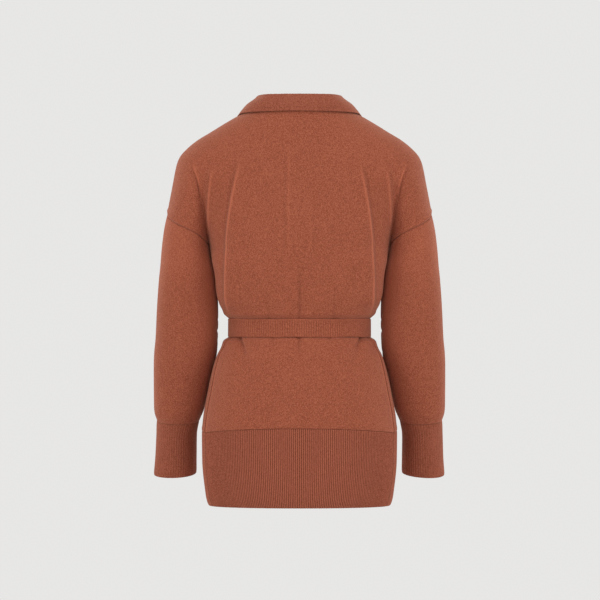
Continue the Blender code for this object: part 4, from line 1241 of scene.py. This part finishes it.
def collar_edge(turn):
    """Foot of the collar's fall, lying just clear of the shoulders and the front."""
    angle = math.radians(smooth(COLLAR, "edge_angle", turn))
    z = smooth(COLLAR, "edge_z", turn)
    side = 1 if turn <= 0.5 else -1
    line = section(np.linspace(0, 2, 200), z, side)
    line_angle = np.arctan2(line[:, 0], side * line[:, 1])
    want = angle if side > 0 else math.pi - angle
    clear = COLLAR_CLEAR + COLLAR_SHOULDER_CLEAR * math.sin(angle) ** 2
    radius = np.interp(want, line_angle, np.hypot(line[:, 0], line[:, 1])) + clear
    return np.array((radius * math.sin(want), side * radius * math.cos(want), z))


def collar_line(turn):
    """Middle line of the collar's cloth at one place: up the stand, over the fold and down."""
    lift = COLLAR_LIFT[0] + COLLAR_LIFT[1] * ramp(turn, 0.5, 0.9)
    foot = neckline_point(turn)
    away = unit(np.array((foot[0], foot[1], 0.0)))
    foot = foot - away * COLLAR_WALL / 2 + (0, 0, lift)
    fold = np.array([smooth(COLLAR, "fold_" + k, turn) for k in "xyz"])
    out = unit(np.array((fold[0], fold[1], 0.0)))
    edge = collar_edge(turn)
    turn_up = fold - out * COLLAR_FOLD_HALF
    turn_down = fold + out * COLLAR_FOLD_HALF
    return rounded([
        foot,
        foot * 0.5 + turn_up * 0.5,
        turn_up - (0, 0, 0.002),
        fold + (0, 0, 0.0008),
        turn_down - (0, 0, 0.002),
        turn_down * 0.5 + edge * 0.5 + out * 0.0025,
        edge,
    ], COLLAR_ROWS + 1)


def make_collar(finish):
    """Folded ribbed collar, open at the front."""
    turns = np.linspace(0.0, COLLAR_END, COLLAR_RIBS * RIB_STEPS // 2 + 1)
    half = np.array([collar_line(t) for t in turns]).transpose(1, 0, 2)
    other = half[:, :0:-1] * (-1, 1, 1)
    middle = np.concatenate((other, half), axis=1)
    normal = unit(np.cross(np.gradient(middle, axis=1), np.gradient(middle, axis=0)))
    around = travel(middle, 1)
    across = travel(middle, 0)
    phase = np.linspace(0.0, COLLAR_RIBS, middle.shape[1])[None, :] * np.ones_like(across)
    to_edge = across[-1:] - across
    to_end = np.minimum(around, around[:, -1:] - around)
    ribs = COLLAR_RIB_HEIGHT * rib_profile(phase)
    ribs *= ramp(to_edge, 0.001, 0.004) * ramp(to_end, 0.001, 0.006)
    out = COLLAR_WALL / 2 - ribs + raised("collar welt", to_edge)
    points = middle - normal * out[..., None]
    pattern = np.stack((phase, across), axis=-1)
    seam = np.maximum(shaded("collar foot", across), shaded("collar welt", to_edge))
    knit_piece("collar", finish, "rib", COLLAR_WALL - 0.0003, (points, normal, pattern, seam))


# ---------------------------------------------------------------- front opening


def surface_y(x, z, side):
    """Outer surface of the body at x and z, for what lies on it."""
    x, z = np.broadcast_arrays(np.asarray(x, float), np.asarray(z, float))
    found = np.empty(x.size)
    for n, (px, pz) in enumerate(zip(x.ravel(), z.ravel())):
        line = section(SHARES, pz, side)
        found[n] = np.interp(abs(px), line[:, 0], line[:, 1])
    return found.reshape(x.shape) + side * fold_rise(np.abs(x), z, side)


def front_slope(x, z):
    """How fast the front comes forward with height."""
    step = 0.003
    return (surface_y(x, z + step, -1) - surface_y(x, z - step, -1)) / (2 * step)


def front_surface(x, z, depth):
    """Points depth outside the front panel near its centre line."""
    slope = front_slope(x, z)
    scale = np.sqrt(1 + slope * slope)
    y = surface_y(x, z, -1) - depth / scale
    return np.stack((x, y, z + depth * slope / scale), axis=-1)


def to_back(points):
    """Inward directions of what lies on the front."""
    inward = np.zeros_like(points)
    inward[..., 1] = 1.0
    return inward


def make_placket(name, depth, width, finish):
    top = NECK_Z - FRONT_NECK_DROP - PLACKET_DROP
    foot = SLIT_END_Z - PLACKET_PAST_SLIT
    across = np.linspace(-0.5, 0.5, 41)
    down = np.linspace(0.0, 1.0, 91)
    rows, columns = np.meshgrid(down, across, indexing="ij")
    x, z = columns * width, top + (foot - top) * rows
    points = front_surface(x, z, depth + WALL)
    from_side = width / 2 - np.abs(x)
    from_end = np.minimum(z - foot, top - z)
    move = raised("placket side", from_side) + raised("placket end", from_end)
    ribs = np.cos(2 * math.pi * x / PLACKET_RIB)
    move += PLACKET_RIB_HEIGHT * ribs * ramp(from_side, 0.0035, 0.005)
    slit = np.zeros_like(x)
    for level in BUTTON_LEVELS:
        length = ramp(BUTTONHOLE_HALF - np.abs(z - level), 0.0, 0.0015)
        slit = np.maximum(slit, bump(x, SLIT_TONE_HALF) * length)
    move -= SLIT_DEPTH * slit
    points[..., 1] -= move
    pattern = np.stack((x / PLACKET_RIB, -z), axis=-1)
    # dark stitch lines, and painted shade in each buttonhole's slit
    seam = np.maximum(shaded("placket stitches", from_side), slit)
    knit_piece(name, finish, "rib", WALL, (points, to_back(points), pattern, seam))


def set_down(bm, matrix):
    """Smooth, even-toned part of a button, moved to its place."""
    bm.verts.layers.float.new("seam")
    for face in bm.faces:
        face.smooth = True
    bmesh.ops.transform(bm, matrix=matrix, verts=bm.verts)


def make_button(n, level, finish, thread):
    """Four-hole button with a raised rim, sewn down with a cross of yarn."""
    radius, depth = BUTTON_RADIUS, BUTTON_DEPTH
    bm = bmesh.new()
    line = [bm.verts.new((radius * x, 0.0, depth * z)) for x, z in BUTTON_PROFILE]
    for a, b in zip(line, line[1:]):
        bm.edges.new((a, b))
    bmesh.ops.spin(
        bm, geom=bm.verts[:] + bm.edges[:], axis=(0, 0, 1), cent=(0, 0, 0),
        steps=48, angle=2 * math.pi, use_merge=True,
    )
    bmesh.ops.remove_doubles(bm, verts=bm.verts, dist=1e-7)
    bmesh.ops.recalc_face_normals(bm, faces=bm.faces)
    slope = float(front_slope(0.0, level))
    out = WALL + PLACKET_LIFT + 0.0005 + depth / 2
    centre = front_surface(np.array(0.0), np.array(level), out)
    turned = Matrix.Rotation(math.pi / 2 - math.atan(slope), 4, "X")
    placed = Matrix.Translation(centre) @ turned
    set_down(bm, placed)
    finish_piece(bm, f"button_{n}_turned", finish, f"button_{n}")
    sewn = bmesh.new()
    hole, face_z = radius * BUTTON_HOLE, depth * BUTTON_FACE
    for angle in (math.pi / 4, -math.pi / 4):
        made = bmesh.ops.create_cone(
            sewn, cap_ends=True, segments=10, radius1=THREAD_RADIUS, radius2=THREAD_RADIUS,
            depth=2 * hole,
        )
        matrix = (
            Matrix.Translation((0, 0, face_z + 0.0003))
            @ Matrix.Rotation(angle, 4, "Z") @ Matrix.Rotation(math.pi / 2, 4, "Y")
        )
        bmesh.ops.transform(sewn, matrix=matrix, verts=made["verts"])
    for k in range(4):
        made = bmesh.ops.create_uvsphere(sewn, u_segments=12, v_segments=8, radius=THREAD_KNOT_RADIUS)
        angle = math.pi / 4 + k * math.pi / 2
        spot = (hole * math.cos(angle), hole * math.sin(angle), face_z)
        matrix = Matrix.Translation(spot) @ Matrix.Diagonal((1, 1, 0.35, 1))
        bmesh.ops.transform(sewn, matrix=matrix, verts=made["verts"])
    set_down(sewn, placed)
    finish_piece(sewn, f"button_{n}_thread", thread)


# ---------------------------------------------------------------- belt


def waist_loop(z, share):
    """Waist all round at a level; share runs 0 to 4 by quarters, from the centre back over +X."""
    part = np.minimum(share.astype(int), 3)
    inside = share - part
    inside = np.where((part == 0) | (part == 2), inside, 1 - inside)
    back = section(inside, z, 1)
    front = section(inside, z, -1)
    flat = np.where(((part == 0) | (part == 3))[..., None], back, front)
    flat[..., 0] *= np.where(part < 2, 1.0, -1.0)
    return flat


def make_belt_loop(finish):
    across = np.linspace(0.0, 1.0, 19)
    across = with_edges(across, (0.012, 0.028), (0.0, 1.0), (1.0, -1.0))
    share = np.linspace(0.0, 4.0, BELT_COLUMNS + 1)
    rows, columns = np.meshgrid(across, share, indexing="ij")
    height = BELT_TOP_Z - BELT_FOOT_Z
    z = BELT_TOP_Z - height * rows
    flat = waist_loop(z, columns)
    ahead = waist_loop(z, np.minimum(columns + 0.01, 4.0))
    ahead = ahead - waist_loop(z, np.maximum(columns - 0.01, 0.0))
    out = unit(np.stack((ahead[..., 1], -ahead[..., 0]), axis=-1))
    out *= np.where(np.sum(out * flat, axis=-1, keepdims=True) < 0, -1.0, 1.0)
    from_edge = np.minimum(rows, 1 - rows) * height
    crown = BELT_GAP + BELT_WALL + 0.0002 + raised("belt edge", from_edge)
    angle = math.pi / 2 * columns
    wave = 0.0005 * np.sin(5 * angle + 1.1) + 0.0003 * np.sin(11 * angle)
    ripple = 0.0003 * np.sin(7 * angle + 2.0 * rows) * ramp(from_edge, 0.0, 0.006)
    flat = flat + out * (crown + ripple)[..., None]
    points = np.stack((flat[..., 0], flat[..., 1], z + wave * (0.6 + 0.4 * rows)), axis=-1)
    points[:, -1] = points[:, 0]
    inward = np.stack((-out[..., 0], -out[..., 1], 0 * z), axis=-1)
    inward[:, -1] = inward[:, 0]
    around = travel(points, 1)
    pattern = np.stack((around, -z), axis=-1)
    # painted stripes of light and shade for the belt's ribs, which have no relief
    tone = BELT_RIB_PAINTED_LIGHT * np.cos(2 * math.pi * around / BELT_RIB) * ramp(from_edge, 0.002, 0.004)
    # painted highlights along the belt's top and bottom edges
    tone += shaded("belt top", rows * height) + shaded("belt foot", (1 - rows) * height)
    # the belt a little darker all over, with painted shade towards its ends, where it turns round the
    # sides
    tone += 0.16 + 0.25 * ramp(np.abs(flat[..., 0]), 0.090, 0.122)
    sheet = (points, inward, pattern, tone)
    knit_piece("belt_loop", finish, "jersey", BELT_WALL - 0.0006, sheet)


def knot_centre():
    front = section(0.0, BELT_TOP_Z, -1)[1] - BELT_GAP - BELT_WALL
    return np.array((0.0, front - 0.0006 - KNOT_SIZE[1] / 2, (BELT_TOP_Z + BELT_FOOT_Z) / 2))


def make_knot(finish):
    """Half hitch of the belt: a pillow with the creases of a band drawn over itself."""
    bm = bmesh.new()
    seam = bm.verts.layers.float.new("seam")
    pattern = bm.loops.layers.uv.verify()
    bmesh.ops.create_uvsphere(bm, u_segments=96, v_segments=64, radius=1.0)
    size = np.array(KNOT_SIZE) / 2
    centre = knot_centre()
    for v in bm.verts:
        shaped = powered(np.array(v.co), KNOT_SQUARE)
        x, z = shaped[0], shaped[2]
        waist = 1 - 0.13 * bump(z - 0.15, 0.9) + 0.10 * z
        groove = 0.0
        for slope, offset, width, depth in zip(*KNOT_FOLDS.values()):
            groove += depth * bump(x - slope * z - offset, width)
        point = centre + shaped * size * (waist, 1.0, 1.0)
        front = max(0.0, -shaped[1])
        point[1] += front * groove
        v.co = point
        # painted shade in the grooves on the knot's front
        v[seam] = min(1.0, front * groove * KNOT_GROOVE_PAINTED_SHADE)
    for face in bm.faces:
        face.smooth = True
        for loop in face.loops:
            loop[pattern].uv = (loop.vert.co.x * 0.9 + loop.vert.co.z * 0.3, loop.vert.co.z)
    finish_piece(bm, "belt_knot_knit", finish, "belt_knot")


def make_tail(n, name, finish):
    foot_z, spread, start_x, start_y, lift = TAILS[name]
    rows = np.linspace(0.0, 1.0, 141)
    rows = with_edges(rows, (0.003, 0.007, 0.011), (1.0, -1.0))
    across = np.linspace(-0.5, 0.5, 29)
    t, c = np.meshgrid(rows, across, indexing="ij")
    knot = knot_centre()
    top_z = knot[2] - KNOT_SIZE[2] / 2 - SEAM - 0.0002
    z = top_z + (foot_z - top_z) * t
    middle = spread * t**0.8 + start_x
    x = middle + c * TAIL_WIDTH * (TAIL_GATHER + (1 - TAIL_GATHER) * np.minimum(1.0, 5 * t))
    y = surface_y(x, z, -1) - lift - TAIL_WALL
    stay = 1 - ramp(t, 0.0, 0.28)
    y = np.minimum(y, (knot[1] + start_y) * stay + y * (1 - stay))
    from_side = (0.5 - np.abs(c)) * TAIL_WIDTH
    relief = raised("tail edge", from_side)
    relief += (0.0009 * bump(c, 0.5) * np.cos(9 * t + n) + 0.0006 * np.sin(13 * t + 2 * n)) * 0.5
    relief += 0.0010 * bump(c + 0.1 - 0.2 * n, 0.16) * (1 - ramp(t, 0.03, 0.22))
    y = y - relief - 0.0004
    points = np.stack((x, y, z), axis=-1)
    pattern = np.stack((c * TAIL_WIDTH, -z), axis=-1)
    seam = shaded("tail hem", (1 - t) * (top_z - foot_z))
    sheet = (points, to_back(points), pattern, seam)
    knit_piece(name, finish, "jersey", TAIL_WALL - 0.0004, sheet)


# ---------------------------------------------------------------- finishes


def wire(tree, node, inputs):
    """Gives a node's inputs their values, or links them from other sockets."""
    for socket, value in inputs.items():
        if isinstance(value, bpy.types.NodeSocket):
            tree.links.new(value, node.inputs[socket])
        else:
            node.inputs[socket].default_value = value


def add_node(tree, kind, inputs=None, **settings):
    made = tree.nodes.new(kind)
    for key, value in settings.items():
        setattr(made, key, value)
    wire(tree, made, inputs or {})
    return made


def maths(tree, operation, a, b=0.0, clamp=False):
    made = add_node(tree, "ShaderNodeMath", {0: a, 1: b}, operation=operation, use_clamp=clamp)
    return made.outputs[0]


def scaled(tree, value, factor, added):
    """A value times a factor, and then something added."""
    return maths(tree, "ADD", maths(tree, "MULTIPLY", value, factor), added)


def rounded_off(tree, value):
    """One less the square of a value."""
    return maths(tree, "SUBTRACT", 1.0, maths(tree, "MULTIPLY", value, value))


def blend(tree, factor, first, second):
    inputs = {"Factor": factor, 6: first, 7: second}
    return add_node(tree, "ShaderNodeMix", inputs, data_type="RGBA").outputs[2]


def new_group(name, inputs, outputs):
    tree = bpy.data.node_groups.new(name, "ShaderNodeTree")
    for label, kind in inputs:
        tree.interface.new_socket(label, in_out="INPUT", socket_type=kind)
    for label, kind in outputs:
        tree.interface.new_socket(label, in_out="OUTPUT", socket_type=kind)
    return tree, tree.nodes.new("NodeGroupInput"), tree.nodes.new("NodeGroupOutput")


def knit_stitches():
    """Plain knit: columns of slanted legs that meet in a V, on the piece's own pattern map."""
    tree, given, result = new_group(
        "knit stitches",
        [("Pattern", "NodeSocketVector"), ("Wale", "NodeSocketFloat"), ("Course", "NodeSocketFloat")],
        [("Height", "NodeSocketFloat"), ("Gap", "NodeSocketFloat")],
    )
    split = add_node(tree, "ShaderNodeSeparateXYZ", {0: given.outputs["Pattern"]})
    across = maths(tree, "DIVIDE", split.outputs[0], given.outputs["Wale"])
    down = maths(tree, "DIVIDE", split.outputs[1], given.outputs["Course"])
    off = maths(tree, "ABSOLUTE", maths(tree, "SUBTRACT", maths(tree, "FRACT", across), 0.5))
    round_leg = rounded_off(tree, scaled(tree, off, 4.0, -1.0))
    slant = scaled(tree, off, 1.3, down)
    round_step = rounded_off(tree, scaled(tree, maths(tree, "FRACT", slant), 2.0, -1.0))
    height = maths(tree, "MULTIPLY", round_leg, scaled(tree, round_step, 0.6, 0.4))
    gap = maths(tree, "SUBTRACT", 1.0, height, clamp=True)
    wire(tree, result, {"Height": height, "Gap": gap})
    return tree


def heathered_yarn():
    """Yarn of mixed fibres: flecks, short streaks and slow drift between a dark and a light tone."""
    tree, given, result = new_group(
        "heathered yarn",
        [("Place", "NodeSocketVector"), ("Dark", "NodeSocketColor"), ("Light", "NodeSocketColor")],
        [("Colour", "NodeSocketColor"), ("Fuzz", "NodeSocketFloat")],
    )
    stretch = add_node(
        tree, "ShaderNodeMapping", {"Vector": given.outputs["Place"], "Scale": (1.0, 1.0, 0.7)}
    )
    total = 0.5
    for scale, detail, weight in YARN_TONES:
        noise = add_node(
            tree, "ShaderNodeTexNoise",
            {"Vector": stretch.outputs[0], "Scale": scale, "Detail": detail, "Roughness": 0.55},
        )
        part = maths(tree, "MULTIPLY", maths(tree, "SUBTRACT", noise.outputs[0], 0.5), weight)
        total = maths(tree, "ADD", part, total)
    total.node.use_clamp = True
    fibre = add_node(
        tree, "ShaderNodeTexNoise",
        {"Vector": stretch.outputs[0], "Scale": 2600.0, "Detail": 2.0, "Roughness": 0.7},
    )
    colour = blend(tree, total, given.outputs["Dark"], given.outputs["Light"])
    wire(tree, result, {"Colour": colour, "Fuzz": fibre.outputs[0]})
    return tree


def new_material(name):
    made = bpy.data.materials.new(name)
    made.use_nodes = True
    return made, made.node_tree, made.node_tree.nodes["Principled BSDF"]


def knit_finish(name, groups, dark, light, wale, course, relief):
    """Knit of a heathered yarn, with dark seams, painted shade, and painted highlights that make
    crests pale, where the piece says so; and painted shade between the stitches.
    """
    finish, tree, shader = new_material(name)
    place = add_node(tree, "ShaderNodeTexCoord")
    stitch, heather = (add_node(tree, "ShaderNodeGroup", node_tree=group) for group in groups)
    wire(tree, stitch, {"Pattern": place.outputs["UV"], "Wale": wale, "Course": course})
    yarn = {"Place": place.outputs["Object"], "Dark": (*dark, 1.0), "Light": (*light, 1.0)}
    wire(tree, heather, yarn)
    # The piece's tone: above 0 darker seams and painted shade, below 0 a painted highlight
    seam = add_node(tree, "ShaderNodeAttribute", attribute_name="seam").outputs["Fac"]
    painted_highlight = maths(tree, "MULTIPLY", seam, -CREST_PAINTED_HIGHLIGHT, clamp=True)
    pale = tuple(1.5 * c for c in light) + (1.0,)
    crest = blend(tree, painted_highlight, heather.outputs["Colour"], pale)
    # darker seams and painted shade from the tone, with painted shade between the stitches added
    seam_and_painted_shade = maths(tree, "MULTIPLY", seam, SEAM_SHADE, clamp=True)
    shade = scaled(tree, stitch.outputs["Gap"], GAP_SHADE, seam_and_painted_shade)
    shade.node.use_clamp = True
    deep = tuple(0.25 * c for c in dark) + (1.0,)
    height = scaled(tree, heather.outputs["Fuzz"], 0.5, stitch.outputs["Height"])
    inputs = {"Height": height, "Strength": relief, "Distance": 0.0004}
    wire(tree, shader, {
        "Base Color": blend(tree, shade, crest, deep),
        "Normal": add_node(tree, "ShaderNodeBump", inputs).outputs[0],
        "Roughness": 0.92,
        "Specular IOR Level": 0.18,
        "Sheen Weight": 0.30,
        "Sheen Roughness": 0.45,
        "Sheen Tint": (1.0, 0.58, 0.42, 1.0),
    })
    return finish


def button_finish():
    """Cast button in a deep brown, faintly clouded, with a worn satin gloss."""
    finish, tree, shader = new_material("clouded brown button")
    place = add_node(tree, "ShaderNodeTexCoord").outputs["Object"]
    inputs = {"Vector": place, "Scale": 420.0, "Detail": 3.0, "Distortion": 1.4}
    cloud = add_node(tree, "ShaderNodeTexNoise", inputs).outputs[0]
    dark, light = (0.085, 0.026, 0.015, 1.0), (0.300, 0.105, 0.060, 1.0)
    wire(tree, shader, {
        "Base Color": blend(tree, cloud, dark, light),
        "Roughness": scaled(tree, cloud, 0.20, 0.22),
        "Coat Weight": 0.3,
    })
    return finish


# ---------------------------------------------------------------- studio


def make_floor():
    """Pale floor that fades into the pale surroundings."""
    bm = bmesh.new()
    bmesh.ops.create_circle(bm, cap_ends=True, segments=96, radius=FLOOR_RADIUS)
    bmesh.ops.translate(bm, vec=(0, 0, FLOOR_Z), verts=bm.verts)
    finish, tree, shader = new_material("pale floor")
    place = add_node(tree, "ShaderNodeTexCoord")
    radius = add_node(tree, "ShaderNodeVectorMath", {0: place.outputs["Object"]}, operation="LENGTH")
    fade = add_node(
        tree, "ShaderNodeMapRange",
        {"Value": radius.outputs["Value"], "From Min": 0.80, "From Max": FLOOR_RADIUS * 0.95,
         "To Min": 1.0, "To Max": 0.0},
        interpolation_type="SMOOTHSTEP",
    )
    side = add_node(tree, "ShaderNodeNewGeometry")
    above = maths(tree, "SUBTRACT", 1.0, side.outputs["Backfacing"])
    wire(tree, shader, {
        "Alpha": maths(tree, "MULTIPLY", fade.outputs[0], above),
        "Base Color": (0.70, 0.70, 0.69, 1.0),
        "Roughness": 0.9,
    })
    meshed(bm, "floor", finish)


def make_world():
    """Even pale surroundings; they light the knit less than they show."""
    world = bpy.data.worlds.new("pale studio")
    bpy.context.scene.world = world
    world.use_nodes = True
    tree = world.node_tree
    tree.nodes.clear()
    seen = add_node(tree, "ShaderNodeBackground", {"Color": (*BACKDROP, 1.0), "Strength": 1.0})
    given = {"Color": (1.0, 0.99, 0.98, 1.0), "Strength": AMBIENT}
    light = add_node(tree, "ShaderNodeBackground", given)
    path = add_node(tree, "ShaderNodeLightPath")
    mixed = add_node(
        tree, "ShaderNodeMixShader",
        {0: path.outputs["Is Camera Ray"], 1: light.outputs[0], 2: seen.outputs[0]},
    )
    add_node(tree, "ShaderNodeOutputWorld", {"Surface": mixed.outputs[0]})


def add_softbox(name, place, size, power):
    data = bpy.data.lights.new(name, "AREA")
    data.shape = "RECTANGLE"
    data.size, data.size_y = size
    data.energy = power
    data.color = SOFTBOX_TINT
    lamp = in_scene(name, data)
    lamp.location = place
    aim = Vector(LIGHT_AIM) - Vector(place)
    lamp.rotation_euler = aim.to_track_quat("-Z", "Y").to_euler()


def make_camera():
    """Looks straight at the back from far off, level with the waist."""
    data = bpy.data.cameras.new("camera")
    data.sensor_width = 36.0
    data.lens = 36.0 * CAMERA_DISTANCE / (600 * PIXEL)
    data.clip_end = 100.0
    camera = in_scene("camera", data)
    camera.location = (-0.5 * PIXEL, CAMERA_DISTANCE, CAMERA_Z)
    camera.rotation_euler = (math.pi / 2, 0.0, math.pi)
    bpy.context.scene.camera = camera


def main():
    measure_sections()
    measure_arm()
    groups = (knit_stitches(), heathered_yarn())
    jersey = knit_finish(
        "heathered jersey", groups, JERSEY_DARK, JERSEY_LIGHT, 0.0013, 0.0010, 0.45
    )
    rib = knit_finish("ribbed knit", groups, RIB_DARK, RIB_LIGHT, 1.0, 0.0014, 0.40)
    button = button_finish()

    make_panel("back_panel", 1, jersey)
    make_panel("front_panel", -1, jersey)
    for side_name, hand in (("left", 1), ("right", -1)):
        make_sleeve("sleeve_" + side_name, hand, jersey)
        make_cuff("cuff_" + side_name, hand, rib)
    make_hem("hem_rib_back", 1, rib)
    make_hem("hem_rib_front", -1, rib)
    make_collar(rib)
    make_placket("placket_over", PLACKET_LIFT, PLACKET_WIDTH, rib)
    make_placket("placket_under", -(WALL + PLACKET_LIFT + WALL), PLACKET_WIDTH - 0.006, rib)
    for n, level in enumerate(BUTTON_LEVELS):
        make_button(n + 1, level, button, jersey)
    make_belt_loop(jersey)
    make_knot(jersey)
    for n, name in enumerate(TAILS):
        make_tail(n, name, jersey)

    make_floor()
    make_world()
    for name, place, size, power in SOFTBOXES:
        add_softbox(name, place, size, power)
    make_camera()
    bpy.context.scene.view_settings.view_transform = "Standard"


main()
